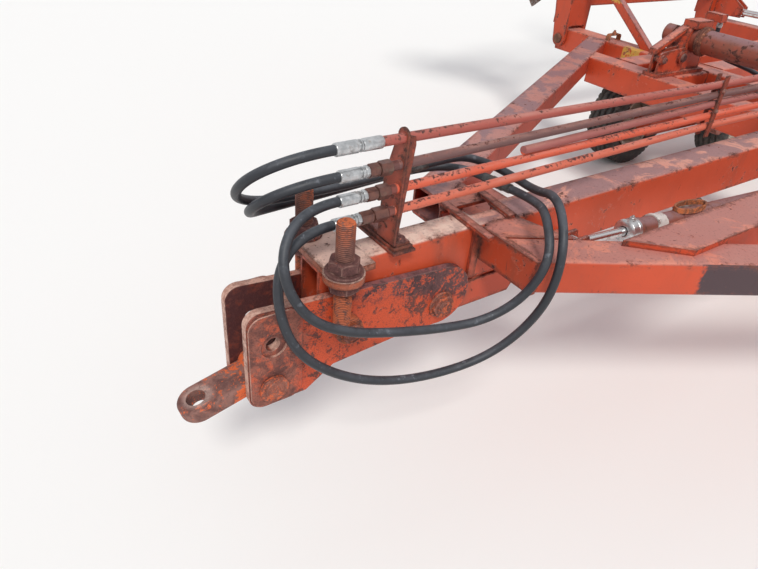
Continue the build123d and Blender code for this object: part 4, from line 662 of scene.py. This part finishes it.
welds = [bead([(480.5, -beam_half, 1), (480.5, beam_half, 1)], 0.004)]
for (station, y), (last_station, last_y) in strap_edges:
    slope = (last_station - station) / (last_y - y)
    welds.append(bead([(station + slope * (at - y), at, 1) for at in (-beam_half, beam_half)], 0.0045))
for side in (1, -1):
    welds.append(bead(rounded_route(196.5, -218.5, 76.5, 153.5, 40, side * 80.0), 0.0032, 0.0044))
    welds.append(bead([(705, side * 53, -204), (1145, side * 53, -204)], 0.004))
    welds.append(bead([(345, side * 53, -2), (478, side * 53, -2)], 0.004))
    for y in rail_places:
        near, far = side * (y - tube_half), side * (y + tube_half)
        welds += [bead([(face, near, -148), (face, near, 0), (face, far, 0), (face, far, -148)], 0.0045)
                  for face in tube_faces]
weld_paint = worn_paint("weld_paint", (0.5, 0.075, 0.028), (0.5, 0.17, 0.12), 0.75, 0.3, 0.5)
piece("weld_runs", welds, weld_paint, 60)


# ---- Hydraulic pipes: five steel lines one above the other along the tongue. Each has faded its
# own way, from brown to bare orange, and the lowest keeps the most paint.
pipe_colours = ((0.62, 0.145, 0.085), (0.66, 0.115, 0.058), (0.35, 0.114, 0.102), (0.155, 0.08, 0.076),
                (0.38, 0.09, 0.07))
pipe_limits = ((0.164, 0.182), (0.216, 0.226), (0.248, 0.265), (0.298, 0.3))
pipe_front, pipe_run = 2.382768, 1.46


def pipe_finish():
    """Each pipe is known by its height, against limits that run from station 540 to 2000."""
    f = Finish("pipe_paint", pipe_colours[0])
    share = maths("DIVIDE", pipe_front - f.at("X"), pipe_run, clamp=True)
    height = f.at("Z") - frame_z
    for (near, far), colour in zip(pipe_limits, pipe_colours[1:]):
        f.coat(maths("GREATER_THAN", height, share.between(near, far)), colour)
    up = f.facing("Z").ramp(0.2, 0.95)
    # Dust and painted highlight: the faces turned up are laid salmon in streaks along the pipes.
    dust = f.patches(0.42, 0.66, 22, 5, 0.7, (0.3, 1, 1))
    f.coat(up * dust.between(0.1, 0.42), (0.62, 0.33, 0.27))
    bare = 0.7 * f.noise(75, 6, 0.75) + 0.3 * f.noise(12, 4, 0.65, (0.4, 1, 1)) + 0.05 * up
    chip = bare.ramp(0.59, 0.608)
    f.coat(0.45 * bare.ramp(0.565, 0.6), (0.6, 0.2, 0.13))
    f.coat(chip, (0.1, 0.042, 0.038))
    end = maths("GREATER_THAN", f.at("X"), 2.365) * maths("LESS_THAN", height, 0.29)
    f.coat(0.85 * end, (0.13, 0.05, 0.045))
    f.relief(0.7 * (1 - chip) + 0.3 * f.noise(300, 3, 0.6), 0.0006)
    return f.show(chip.between(0.46, 0.8), 0.0, 0.42)


dress("hydraulic_pipes", pipe_finish())


# ---- Rusty hitch plates: thick flame-cut plate, once painted, now purple-brown scale with fine
# orange mottles, scraped pale along its front edges, with a painted highlight on them and painted
# shade on the cheeks' inner faces. The fold cylinders' barrels and the wings' hinge pins are as
# rusty.
def rusty_steel(name, dark, light, mottle=(0.62, 0.085, 0.022), share=0.5, depth=0.0016, scrape=0.5):
    """Scaled rust from dark to light, with mottles of another colour over a share of it."""
    f = Finish(name, dark)
    cloud, fine, pit = f.noise(13, 6, 0.7, warp=0.6), f.noise(95, 5, 0.72), f.noise(290, 3, 0.6)
    f.coat(cloud.ramp(0.34, 0.64), light)
    f.coat(0.5 * fine.ramp(0.52, 0.68), shade(light, 1.7))
    f.coat(0.5 * pit.ramp(0.54, 0.62), shade(dark, 0.45))
    spread = 0.55 * f.noise(46, 6, 0.76, warp=0.5) + 0.25 * f.noise(170, 4, 0.7) + 0.2 * f.noise(8, 4, 0.6)
    limit = 0.6 - 0.14 * share
    flake = spread.ramp(limit, limit + 0.03)
    f.coat(flake, mottle)
    f.coat(scrape * (f.edges(0.007) * f.patches(0.42, 0.58, 26, 5, 0.7)), (0.46, 0.27, 0.22))
    f.relief(0.45 * fine + 0.25 * pit + 0.15 * cloud + 0.15 * flake, depth, 0.003)
    return f.show(flake.between(0.84, 0.62), 0.0, 0.3)


def hitch_finish():
    """Each part of the plates by where it lies: the pads in front are brown with orange worn
    through, the middle keeps its orange paint, the arm behind is purple-grey scale, the inner
    faces are darkened to a deep red by painted shade, and the front and top edges are pale
    salmon, scraped steel with a painted highlight."""
    f = Finish("hitch_rust")
    cloud, fine, pit = f.noise(13, 6, 0.7, warp=0.6), f.noise(95, 5, 0.72), f.noise(290, 3, 0.6)
    spread = 0.55 * f.noise(30, 6, 0.74, warp=0.4) + 0.25 * f.noise(140, 4, 0.7) + 0.2 * f.noise(7, 4, 0.6)
    dull = cloud.ramp(0.36, 0.62)
    x = f.at("X")
    ragged = x + 0.16 * f.noise(11, 5, 0.7)
    high = f.at("Z") - 0.3 * x + 0.12 * f.noise(15, 5, 0.7)
    painted = spread.ramp(0.455, 0.49)
    f.tone = f.blend(painted, (0.15, 0.055, 0.045), (0.6, 0.082, 0.028))
    scale = f.blend(dull, (0.06, 0.032, 0.036), (0.13, 0.062, 0.062))
    f.coat((1 - ragged.ramp(2.545, 2.605)) * high.ramp(0.06, 0.11),
           f.blend(spread.ramp(0.505, 0.54), scale, (0.56, 0.085, 0.035)))
    brown = f.blend(dull, (0.12, 0.045, 0.038), (0.3, 0.105, 0.075))
    f.coat(ragged.ramp(2.7, 2.76), f.blend(spread.ramp(0.5, 0.6), brown, (0.52, 0.105, 0.05)))
    f.coat(0.5 * pit.ramp(0.54, 0.62), (0.05, 0.022, 0.02))
    f.coat(0.4 * fine.ramp(0.6, 0.68), (0.6, 0.2, 0.12))
    # Painted shade: the faces turned towards the middle, between the cheeks, are darkened to a deep red.
    inner = (maths("SIGN", f.at("Y")) * f.facing("Y")).ramp(-0.4, -0.8)
    f.coat(inner * spread.ramp(0.47, 0.55).between(1.0, 0.75), (0.085, 0.026, 0.026))
    # Scraped steel and painted highlight: the faces turned forward and up, not those facing across, are laid
    # pale salmon, purple-grey behind station 400.
    forward = (0.8 * f.facing("X") + 0.8 * f.facing("Z")).ramp(0.45, 0.85)
    pale = abs(f.facing("Y")).ramp(0.5, 0.25) * forward * spread.ramp(0.44, 0.56).between(0.35, 1.0)
    f.coat(pale, f.blend(x.ramp(2.52, 2.6), (0.21, 0.125, 0.135), (0.62, 0.39, 0.31)))
    f.coat(0.5 * (f.edges(0.006) * f.patches(0.42, 0.58, 26, 5, 0.7)), (0.42, 0.25, 0.21))
    f.relief(0.45 * fine + 0.25 * pit + 0.15 * cloud + 0.15 * painted, 0.0016, 0.003)
    return f.show(painted.between(0.82, 0.55), 0.0, 0.32)


def eye_finish():
    """Brown-pink on top and bright orange in its sides' hollows, with a ring worn bright round
    the hole, at distance r from the hole's own line."""
    f = Finish("eye_rust")
    cloud, fine = f.noise(16, 6, 0.7, warp=0.6), f.noise(110, 5, 0.72)
    spread = 0.6 * f.noise(36, 6, 0.74, warp=0.4) + 0.4 * f.noise(150, 4, 0.7)
    up = f.facing("Z").ramp(0.3, 0.8)
    behind = 1 - (f.at("X") + 0.05 * f.noise(20, 5, 0.7)).ramp(2.83, 2.88)
    share = 0.11 * ((1 - up) * behind) + 0.045 * behind + spread
    f.tone = f.blend(cloud.ramp(0.36, 0.62), (0.13, 0.055, 0.048), (0.27, 0.13, 0.105))
    f.coat(share.ramp(0.545, 0.59), (0.66, 0.125, 0.035))
    off_x, off_y = f.at("X") - 2.92212, f.at("Y")
    r = maths("SQRT", off_x * off_x + off_y * off_y)
    ring = r.ramp(0.048, 0.03) * up * spread.ramp(0.4, 0.6).between(0.5, 1.0)
    f.coat(0.75 * ring, (0.46, 0.33, 0.29))
    f.coat(0.5 * fine.ramp(0.54, 0.64), (0.075, 0.035, 0.03))
    f.coat(0.35 * f.edges(0.008), (0.4, 0.24, 0.2))
    f.relief(0.5 * fine + 0.3 * cloud + 0.2 * spread, 0.0016, 0.004)
    return f.show(0.66, 0.0, 0.35)


brown_rust = rusty_steel("brown_rust", (0.085, 0.036, 0.026), (0.2, 0.085, 0.052), (0.38, 0.1, 0.045), 0.15)
dress("hitch_body", hitch_finish())
dress("hitch_eye", eye_finish())
dress("fold_barrel_left fold_barrel_right hinge_pins", brown_rust)


# ---- Hitch pins: turned steel with rust on their heads, which are faced in rings. The eye's pin,
# the rear pivot's pin with its nut, and the cross pin that the two screws hang from.
pin_rows = (
    # station, height, pin's radius, where its heads start and end along Y, head's radius, nut
    (185, -312, 30, 88, 102, 42, False),
    (764, -232, 25, 79, 109, 45, True),
    (401, -172, 22, 135.5, 145.5, 30, False),
)


def pin(radius, inner, outer, head, nut):
    """A pin with the same head at both ends: a washer and a nut, or a disc faced in rings."""
    flat = 0.8 * head
    peak = flat / math.cos(math.pi / 6)
    if nut:
        half = [(inner, head - 1), (inner + 1, head), (inner + 6, head), (inner + 7, head - 1),
                (inner + 7, 0.7 * head), (inner + 7.5, 0.98 * flat, flat, 6), (inner + 10, peak, flat, 6),
                (outer - 10, peak, flat, 6), (outer - 7, 0.98 * flat, flat, 6), (outer - 7, 0.82 * radius),
                (outer - 1.5, 0.82 * radius), (outer, 0.76 * radius), (outer, 0)]
    else:
        rings = ((0.5, 0.8), (2.2, 0.77), (2.2, 0.62), (0, 0.59), (0, 0.4), (1.5, 0.37), (1.5, 0.17),
                 (4, 0.1), (4, 0))
        half = [(inner, head - 2), (inner + 2, head), (outer - 3, head), (outer - 0.5, head - 3)]
        half += [(outer - depth, share * head) for depth, share in rings]
    half = [(inner, radius)] + half
    return turned([(-h, *rest) for h, *rest in reversed(half)] + half, 72)


pins = [placed(pin(*sizes), spot(station, 0, height), (0, 1, 0)) for station, height, *sizes in pin_rows]
pin_rust = rusty_steel("pin_rust", (0.14, 0.05, 0.04), (0.32, 0.11, 0.075), (0.58, 0.12, 0.045), 0.55,
                       0.0009, 0.6)
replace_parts(piece("turned_pins", pins, pin_rust), "hitch_pins")


# ---- Levelling screws: two 51 mm threaded bars, each with an eye on the cross pin, locked to the
# ear plate by a washer and two plain nuts. Threads brown, with orange paint left at the top.
screw_station, screw_y, screw_size = 381, 109, 25.5
screw_low, screw_high = -160, 168
screw_pitch, thread_depth = 5.6, 2.6
washer_low, upper_nut_low, lower_nut_low = 20.1, 29.1, -32.1
washer_rows = ((0, 25.5), (0, 50.5), (1.5, 52), (7.3, 52), (8.8, 50.5), (8.8, 25.5))
screw_eye_rows = ((0, 22.8), (0, 38), (1.5, 41), (4, 42), (32, 42), (34.5, 41), (36, 38), (36, 22.8))


def screw_finish():
    """Brown rust, with orange on the thread's top and on what hangs below the ear plate. The
    groove is dark: it is 1 where the fraction of height / pitch - angle / 2 pi is a half."""
    f = Finish("screw_rust")
    fine = f.noise(110, 5, 0.72)
    height = f.at("Z")
    f.tone = f.blend(f.patches(0.35, 0.65, 20, 5, 0.65), (0.13, 0.055, 0.045), (0.25, 0.11, 0.085))
    ends = maths("MAXIMUM", height.ramp(1.04, 1.048), 1 - height.ramp(0.84, 0.86))
    streaks = height.ramp(0.93, 1.05) * f.patches(0.46, 0.56, 22, 5, 0.7)
    orange = (0.8 * ends + 0.6 * streaks) * f.patches(0.38, 0.52, 60, 5, 0.7)
    f.coat(maths("MINIMUM", orange, 1.0), (0.62, 0.15, 0.055))
    f.coat(0.6 * fine.ramp(0.52, 0.66), (0.07, 0.028, 0.024))
    x, y = f.at("X") - (hitch_x - screw_station / 1000), abs(f.at("Y")) - screw_y / 1000
    turns = (height - (frame_z + screw_low / 1000)) / (screw_pitch / 1000)
    fraction = maths("FRACT", turns - maths("ARCTAN2", y, x) / (2 * math.pi))
    groove = 1 - abs(2 * fraction - 1.0)
    wall = abs(f.facing("Z")).ramp(0.9, 0.7)
    f.coat(0.75 * (groove.ramp(0.35, 0.8) * wall), (0.045, 0.02, 0.016))
    f.relief(fine, 0.0006)
    return f.show(0.74, 0.0, 0.35)


def threaded(radius, length, pitch, depth, sides=40):
    """A screw thread: at height h and angle a the radius is R - depth (1 - |2 t - 1|^1.6), where t
    is the fraction of h / pitch - a / 2 pi, and both ends narrow by 1.6 times the depth."""
    h = np.linspace(0, length, int(length / pitch * 6))
    angle = np.linspace(0, 2 * np.pi, sides, endpoint=False)
    t = np.mod(h[:, None] / pitch - angle[None, :] / (2 * np.pi), 1.0)
    r = radius - depth * (1 - np.abs(2 * t - 1) ** 1.6)
    near_end = np.minimum(h, length - h)[:, None]
    r = np.minimum(r, radius - depth * 1.6 + near_end * 0.9)
    r = np.pad(r, ((1, 1), (0, 0)))
    h = np.broadcast_to(np.pad(h, 1, mode="edge")[:, None], r.shape)
    return round_shape(r / 1000, h / 1000, angle, False)


rods, nuts = [], []
for side in (1, -1):
    y = side * screw_y
    rods.append(placed(threaded(screw_size, screw_high - screw_low, screw_pitch, thread_depth),
                       spot(screw_station, y, screw_low), across=(1, 0, 0)))
    rods.append(placed(turned(screw_eye_rows, 72), spot(401, min(side * 92, side * 128), -172), (0, 1, 0)))
    nuts.append(placed(turned(washer_rows, 72), spot(screw_station, y, washer_low)))
    for low, turn in ((upper_nut_low, 0.35 * side), (lower_nut_low, -0.35 * side)):
        nuts.append(placed(hex_nut(32, 38, screw_size - 1, 0.96, 0.55), spot(screw_station, y, low),
                           across=(math.cos(turn), math.sin(turn), 0)))
nut_rust = rusty_steel("nut_rust", (0.075, 0.032, 0.032), (0.15, 0.065, 0.058), (0.48, 0.12, 0.07), 0.25,
                       0.0009, 0.9)
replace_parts(piece("threaded_screws", rods, screw_finish(), 26), "levelling_screws")
piece("lock_nuts", nuts, nut_rust)


# ---- Pipe stand: flat bars across the stub, on which a plate stands with a rounded head. The
# pipes pass its left edge, a rib tapers up behind it, and two bolts hold the base down.
base_bars = ((0, 556, 632, -120, 84), (10, 562, 626, -112, 76), (20, 569, 619, -108, 70))
rib_outline = ((565.5, 34), (567.5, 34), (599, 318), (596, 340), (578.8, 345))
lean, upright_low, upright_rise = 14, 30, 330


def plate(outline, thickness, lay, rim=1.2):
    """A flat bar cut to an outline, its edges eased by rim all round. Rows run from the middle of
    one face, out, over the edge and back to the middle of the other face. lay turns a point's
    place on the outline and its depth into station, Y and height."""
    edge = np.array(outline, float)
    centre = np.broadcast_to(edge.mean(axis=0), edge.shape)
    back, ahead = edge - np.roll(edge, 1, axis=0), np.roll(edge, -1, axis=0) - edge
    n1, n2 = (unit(np.stack([side[:, 1], -side[:, 0]], axis=1)) for side in (back, ahead))
    inward = -(n1 + n2) / np.maximum(1 + (n1 * n2).sum(axis=1), 0.4)[:, None]
    inside = edge + rim * inward
    rows = ((centre, 0), (inside, 0), (edge, rim), (edge, thickness - rim), (inside, thickness),
            (centre, thickness))
    points = np.stack([np.column_stack([flat, np.full(len(edge), depth)]) for flat, depth in rows])
    points, quads = grid_shape(points, True, False)
    return np.stack(spot(*lay(*points.T)), axis=1), quads


def arc(x, y, radius, first, last, count=5):
    """Points on a circle, between two angles in degrees."""
    angle = np.radians(np.linspace(first, last, count))
    return [(x + radius * math.cos(a), y + radius * math.sin(a)) for a in angle]


def bolt(flat, height, shank, proud):
    """A hexagon head on a washer, with the end of its shank standing proud of it."""
    peak = flat / math.cos(math.pi / 6)
    return turned([(0, 0), (0, 1.32 * flat), (1.6, 1.32 * flat), (1.6, 0.97 * flat, flat, 6),
                   (2.2, peak, flat, 6), (height - 2.2, peak, flat, 6), (height - 0.8, 0.99 * flat, flat, 6),
                   (height, 0.93 * flat), (height, shank), (height + proud - 1, shank),
                   (height + proud, 0.86 * shank), (height + proud, 0)], 36)


bars = [plate(((right, front), (left, front), (left, rear), (right, rear)), 9.9,
              lambda y, station, depth, low=low: (station, y, low + depth), 1.5)
        for low, front, rear, right, left in base_bars]
head = arc(53.8, 336.5, 23, 0, 180, 15)[1:-1]
upright = [(-6, 30), (76.8, 30), (76.8, 335)] + head + [(32, 335), (20, 300), (-6, 210)]
uprights = [plate(upright, 8, lambda y, height, depth:
                  (557.5 + depth + lean * (height - upright_low) / upright_rise, y, height)),
            plate(rib_outline, 6, lambda station, height, depth: (station, 70.5 + depth, height))]
bolts = [placed(bolt(12.5, 14, 6, 3), spot(594, y, 29.9), (0, 0, 1), across)
         for y, across in ((57, (0.3, 1, 0)), (-88, (0.9, 1, 0)))]
stand_paint = worn_paint("stand_paint", (0.4, 0.07, 0.035), (0.42, 0.16, 0.11), 1.0, 0.5, 0.7)
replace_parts(piece("stand_base", bars, stand_paint), "pipe_supports")
piece("stand_plates", uprights, stand_paint)
piece("base_bolts", bolts, nut_rust)


# ---- Pipe clamp: two flat bars that grip the five pipes, drawn together by two long bolts.
clamp_rear, clamp_middle = 2013, 2000
clamp_outline = (arc(4, 129, 4, 180, 270) + arc(22, 129, 4, 270, 360) + arc(22, 351, 4, 0, 90)
                 + arc(4, 351, 4, 90, 180))
clamp_bars = []
for y in (37.65, 70.35):
    clamp_bars.append(plate(clamp_outline, 6,
                            lambda ahead, height, depth: (clamp_rear - ahead, y + depth, height), 1))
clamp_bolts = []
for height in (300, 226):
    for side, face in ((1, 76.4), (-1, 37.6)):
        clamp_bolts.append(placed(bolt(6.5, 5.5, 4, 2), spot(clamp_middle, face, height), (0, side, 0),
                                  (1, 0, 0.4)))
    shank = turned([(0, 0), (0, 4), (32.6, 4), (32.6, 0)], 16)
    clamp_bolts.append(placed(shank, spot(clamp_middle, 40.7, height), (0, 1, 0)))
piece("clamp_bars", clamp_bars, stand_paint)
piece("clamp_screws", clamp_bolts, nut_rust)


# ---- Lift cylinder: a silver clamp round the gland of its long painted barrel, a pale cone, and a
# rusty oval stop that lies on top. All ride with the barrel.
barrel_front, barrel_dip = (1450.0, 200.0, -81.9), 0.0811
clamp_rows = ((0, 18.5), (-5, 18.5), (-5, 30), (0, 39.5), (2, 41.5), (14, 41.5), (16, 40), (34, 40),
              (36, 41.5), (48, 41.5), (50, 39.5), (50, 37.5), (1, 37.5))
cone_rows = ((0, 32.5), (0, 37.5), (2.5, 40), (12, 40.5), (18, 38.5), (60, 35), (64, 34), (64, 32.5))


def on_barrel(station, rise=0.0):
    """A place on the cylinder's own line, or above it, in metres."""
    return spot(station, barrel_front[1], barrel_front[2] - barrel_dip * (station - barrel_front[0]) + rise)


def oval_stop(first, last, half_width, thick, tall):
    """A flat bar bent round an oval: its section, thick and tall, follows (a cos t, b sin t) and
    lies across it. The whole leans with the barrel, 30 mm over its line."""
    angle = np.linspace(0, 2 * np.pi, 72, endpoint=False)
    reach = np.array([(last - first) / 2, half_width])
    turn = np.stack([np.cos(angle), np.sin(angle)], axis=1)
    out = unit(turn / reach)
    section = np.array([(-thick / 2, 0), (thick / 2, 0), (thick / 2, tall), (-thick / 2, tall)])
    flat = (turn * reach)[:, None] + section[:, :1] * out[:, None]
    rise = np.broadcast_to(section[:, 1:], (*flat.shape[:2], 1))
    points, quads = grid_shape(np.concatenate([flat, rise], axis=2) / 1000, True, True)
    tilt = math.atan(barrel_dip)
    x, y, z = points.T
    leaning = np.stack([x * math.cos(tilt) - z * math.sin(tilt), y, x * math.sin(tilt) + z], axis=1)
    return np.array(on_barrel((first + last) / 2, 30.0)) + leaning, quads


barrel_line = np.array(on_barrel(2000)) - on_barrel(1450)
clamp = [placed(turned(clamp_rows, 72), on_barrel(1447), barrel_line),
         placed(bolt(9.5, 9, 5, 6), on_barrel(1474, 41.0), (0, 0, 1), (1, 0.2, 0))]
cone = placed(turned(cone_rows, 72), on_barrel(1598), barrel_line)
silver = plated("silver_clamp", (0.66, 0.67, 0.68), (0.48, 0.49, 0.5), 0.05)
pale_paint = worn_paint("pale_paint", (0.62, 0.6, 0.57), (0.72, 0.7, 0.67), 0.2, 0.0, 0.6)
stop_rust = rusty_steel("stop_rust", (0.13, 0.055, 0.036), (0.3, 0.12, 0.06), (0.55, 0.17, 0.06), 0.7,
                        0.0012, 0.7)
piece("gland_clamp", clamp, silver, body="lift_barrel")
piece("gland_cone", [cone], pale_paint, body="lift_barrel")
piece("lift_stop", [oval_stop(1735, 1925, 30, 7, 20)], stop_rust, 40, "lift_barrel")


# ---- Rods of all three cylinders: ground, chromed steel with fine turning lines.
def bright_rod():
    """Chrome with fine lines round it, dulled brown in spots."""
    f = Finish("rod_steel", (0.64, 0.65, 0.66))
    line = f.noise(420, 2, 0.5, (1, 0.06, 0.06))
    spots = f.patches(0.55, 0.72, 26, 5, 0.65)
    f.coat(spots, (0.4, 0.33, 0.28))
    f.relief(line, 0.00006)
    return f.show(0.2 * line + 0.3 * spots + 0.08, 0.95)


dress("lift_rod fold_rod_left fold_rod_right", bright_rod())


# ---- Rockshaft trim: a stepped cap on the head of each pin of the pedestals, and a rough rusty
# boss round the shaft beside each pedestal, which turns with the shaft.
pin_heads = ((3013, 98, 24), (3190, 99, 34))
cap_rows = ((0, 0), (0, 0.72), (4, 0.72), (4.5, 0.62), (11, 0.62), (13, 0.54), (13, 0))
boss_rows = ((0, 63), (0, 70), (4, 77), (12, 79), (16, 74), (22, 79), (30, 76), (36, 78), (44, 69), (44, 63))
caps = [placed(turned([(h, share * radius) for h, share in cap_rows], 36), spot(station, side * 808, height),
               (0, -side, 0)) for side in (1, -1) for station, height, radius in pin_heads]
bosses = [placed(turned(boss_rows, 60), spot(3306, side * 806, 185), (0, -side, 0)) for side in (1, -1)]
boss_rust = rusty_steel("boss_rust", (0.075, 0.03, 0.024), (0.19, 0.07, 0.045), (0.4, 0.15, 0.08), 0.5,
                        0.004, 0.4)
piece("shaft_pins", caps, nut_rust)
piece("shaft_bosses", bosses, boss_rust, body="rockshaft")


# ---- Stop bracket: a rusty flat bar, bent like a staple, with a bolt through its top. It stands
# on the middle tube, outside the right-hand rails.
bracket_y = -1560
bar_path = ((3490, 0), (3490, 26), (3496, 33), (3506, 36), (3588, 36), (3598, 33), (3604, 26), (3604, 0))


def bent_bar(route, half_wide, half_thick):
    """A flat bar swept along a route in a plane across Y: corners at +-half_wide along Y and
    +-half_thick square to the route, all in metres."""
    line = np.array([spot(station, bracket_y, height) for station, height in route])
    along = unit(np.gradient(line, axis=0))
    side = np.array([0.0, 1.0, 0.0])
    out = np.cross(along, side)
    corners = [half_wide * a * side + half_thick * b * out for a, b in ((-1, -1), (1, -1), (1, 1), (-1, 1))]
    points = np.stack([line + corner for corner in corners], axis=1)
    first, last = line[:1, None] * np.ones((1, 4, 1)), line[-1:, None] * np.ones((1, 4, 1))
    return grid_shape(np.concatenate([first, points, last]), True, False)


bracket = [bent_bar(bar_path, 0.016, 0.005),
           placed(bolt(12, 12, 8, 10), spot(3546, bracket_y, 41), (0, 0, 1), (1, 0.3, 0))]
piece("stop_bracket", bracket, stop_rust, 40)


# ---- Fold cylinders: each barrel carries two rusty steel bands, turned on its own line, which
# falls from its tower towards its gland. They ride with it.
band_rows = ((0, 50), (0, 53.5), (2, 55.5), (20, 55.5), (22, 53.5), (22, 50))
for name, side in (("left", 1), ("right", -1)):
    start, tip = (np.array(spot(5326, side * y, height)) for y, height in ((420, 110), (1419.7, 85.9)))
    run = unit(tip - start)
    bands = [placed(turned(band_rows, 60), start + reach * run, run) for reach in (0.3, 0.62)]
    piece(f"fold_bands_{name}", bands, brown_rust, body=f"fold_barrel_{name}")


# ---- Sweeps: wide V blades of hard steel, polished by soil and browned in the yard. The CAD's
# blades carry the finish; nothing is added to them.
dress("centre_blades wing_blades_left wing_blades_right",
      rusty_steel("blade_steel", (0.15, 0.115, 0.095), (0.27, 0.21, 0.175), (0.4, 0.38, 0.36), 0.6, 0.0006))


# ---- Tyres: ribbed implement tyres. Four zigzag grooves run round the tread, notches cut its
# shoulders and fine ribs circle the sidewalls; dusty black rubber.
outward = {"front_left": 1, "rear_left": -1, "front_right": -1, "rear_right": 1}
tyre_names = [f"tyre_{place}" for place in outward] + ["gauge_tyre_left", "gauge_tyre_right"]
sidewall = ((0.6, 0), (0.66, 0.06), (0.8, 0.16), (0.93, 0.3), (0.985, 0.42), (1, 0.54), (0.985, 0.66),
            (0.95, 0.76), (0.93, 0.8), (0.915, 0.86), (0.89, 0.915), (0.86, 0.945))


def tyre_finish():
    """Black rubber under grey-brown dust in patches."""
    f = Finish("tyre_black", (0.02, 0.02, 0.022))
    dust = 0.6 * f.patches(0.35, 0.72, 8, 5, 0.65) + 0.3 * f.patches(0.4, 0.7, 60, 4, 0.7)
    f.coat(dust, (0.125, 0.112, 0.095))
    f.relief(0.7 * f.noise(260, 3, 0.6) + 0.3 * f.noise(30, 4, 0.6), 0.0007)
    return f.show(dust.between(0.55, 0.85), 0.0, 0.35)


def ribbed_tyre(radius, half, rim, turns=288):
    """The outline of the section is given by (across, radius), in shares of the half width and of
    the wall's depth. On the tread the radius falls by d clip(1.45 - |x - c(a)| / w, 0, 1) at each
    groove, with c(a) = c + k tri(n a), and on the shoulders by a notch where sin(m a) > 0.25. The
    section closes inside the beads, so that it is a ring."""
    depth = radius - rim
    side, wall = np.array(sidewall).T
    wall = rim + depth * wall
    wall[0] += 0.001
    tread = np.linspace(-0.83, 0.83, 56)
    crown = radius - 0.055 * depth * np.abs(tread) ** 2.4 - 0.0002
    across = np.concatenate([-side, tread, side[::-1]]) * half
    reach = np.concatenate([wall, crown, wall[::-1]])
    angle = np.linspace(0, 2 * np.pi, turns, endpoint=False)
    a = np.broadcast_to(across[:, None], (len(across), turns))
    r = np.broadcast_to(reach[:, None], a.shape).copy()
    zigzag = 2 * np.abs(np.mod(angle * 36 / (2 * np.pi), 1.0) * 2 - 1) - 1
    on_tread = np.abs(a) < 0.8 * half
    for centre in (-0.56, -0.19, 0.19, 0.56):
        off = np.abs(a - centre * half - 0.035 * half * zigzag[None, :]) / (0.06 * half)
        r -= on_tread * 0.115 * depth * np.clip(1.45 - off, 0, 1)
    shoulder = (np.abs(a) > 0.74 * half) * (r > rim + 0.78 * depth)
    r -= shoulder * 0.075 * depth * np.clip((np.sin(angle * 48) - 0.25) * 6, 0, 1)[None, :]
    wall_rib = (np.abs(a) > 0.86 * half) * (r < rim + 0.74 * depth)
    a = a * np.where(wall_rib, 0.9965 + 0.0035 * np.cos(2 * np.pi * r / 0.011), 1.0)
    return round_shape(r, a, angle, True)


def middle_of(node):
    """The middle of a node's box."""
    return np.mean(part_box(node), axis=0)


tyre_black = tyre_finish()
road_tyre, gauge_tyre = ribbed_tyre(0.33, 0.12, 0.19), ribbed_tyre(0.28, 0.066, 0.15)
for name in tyre_names:
    shape, axis = (gauge_tyre, (0, 0, 1)) if "gauge" in name else (road_tyre, (0, 1, 0))
    tyre = piece(f"ribbed_{name}", [placed(shape, middle_of(name), axis, (1, 0, 0))], tyre_black, 32,
                 name.replace("tyre", "wheel"))
    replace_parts(tyre, name)


# ---- Wheels: pressed rims in cream paint, with six plated nuts on studs round each disc and a
# dust cap on each road wheel's hub. They turn with their wheel.
# Each row: rim, axis towards the side its disc shows, disc's face, circle of the studs, and hub's
# end, or 0 where no cap shows.
hub_rows = [(f"rim_{place}", (0, out, 0), 0.026, 0.1, 0.072) for place, out in outward.items()]
hub_rows += [(f"gauge_rim_{side}", (0, 0, 1), 0.016, 0.092, 0.0) for side in ("left", "right")]
dust_cap_rows = ((-2, 0), (-2, 36), (4, 36), (5, 33), (12, 31), (14.5, 26), (14.5, 0))
stud_angles = np.radians(np.arange(6) * 60 + 15)
hub_metal = plated("hub_metal", (0.34, 0.32, 0.3), (0.2, 0.17, 0.15), 0.6, 0.6)
dress(" ".join(row[0] for row in hub_rows),
      worn_paint("rim_paint", (0.58, 0.53, 0.44), (0.62, 0.58, 0.5), 0.75, 0.1, 0.6))
for name, axis, face, circle, hub_end in hub_rows:
    axis, across = np.array(axis, float), np.array((1.0, 0, 0))
    other = np.cross(axis, across)
    centre = middle_of(name)
    ring = [centre + face * axis + circle * (math.cos(a) * across + math.sin(a) * other) for a in stud_angles]
    studs = [placed(bolt(12, 13, 7, 7), place, axis, across) for place in ring]
    if hub_end:
        studs.append(placed(turned(dust_cap_rows), centre + hub_end * axis, axis, across))
    piece(f"studs_{name}", studs, hub_metal, body=name.replace("rim", "wheel"))
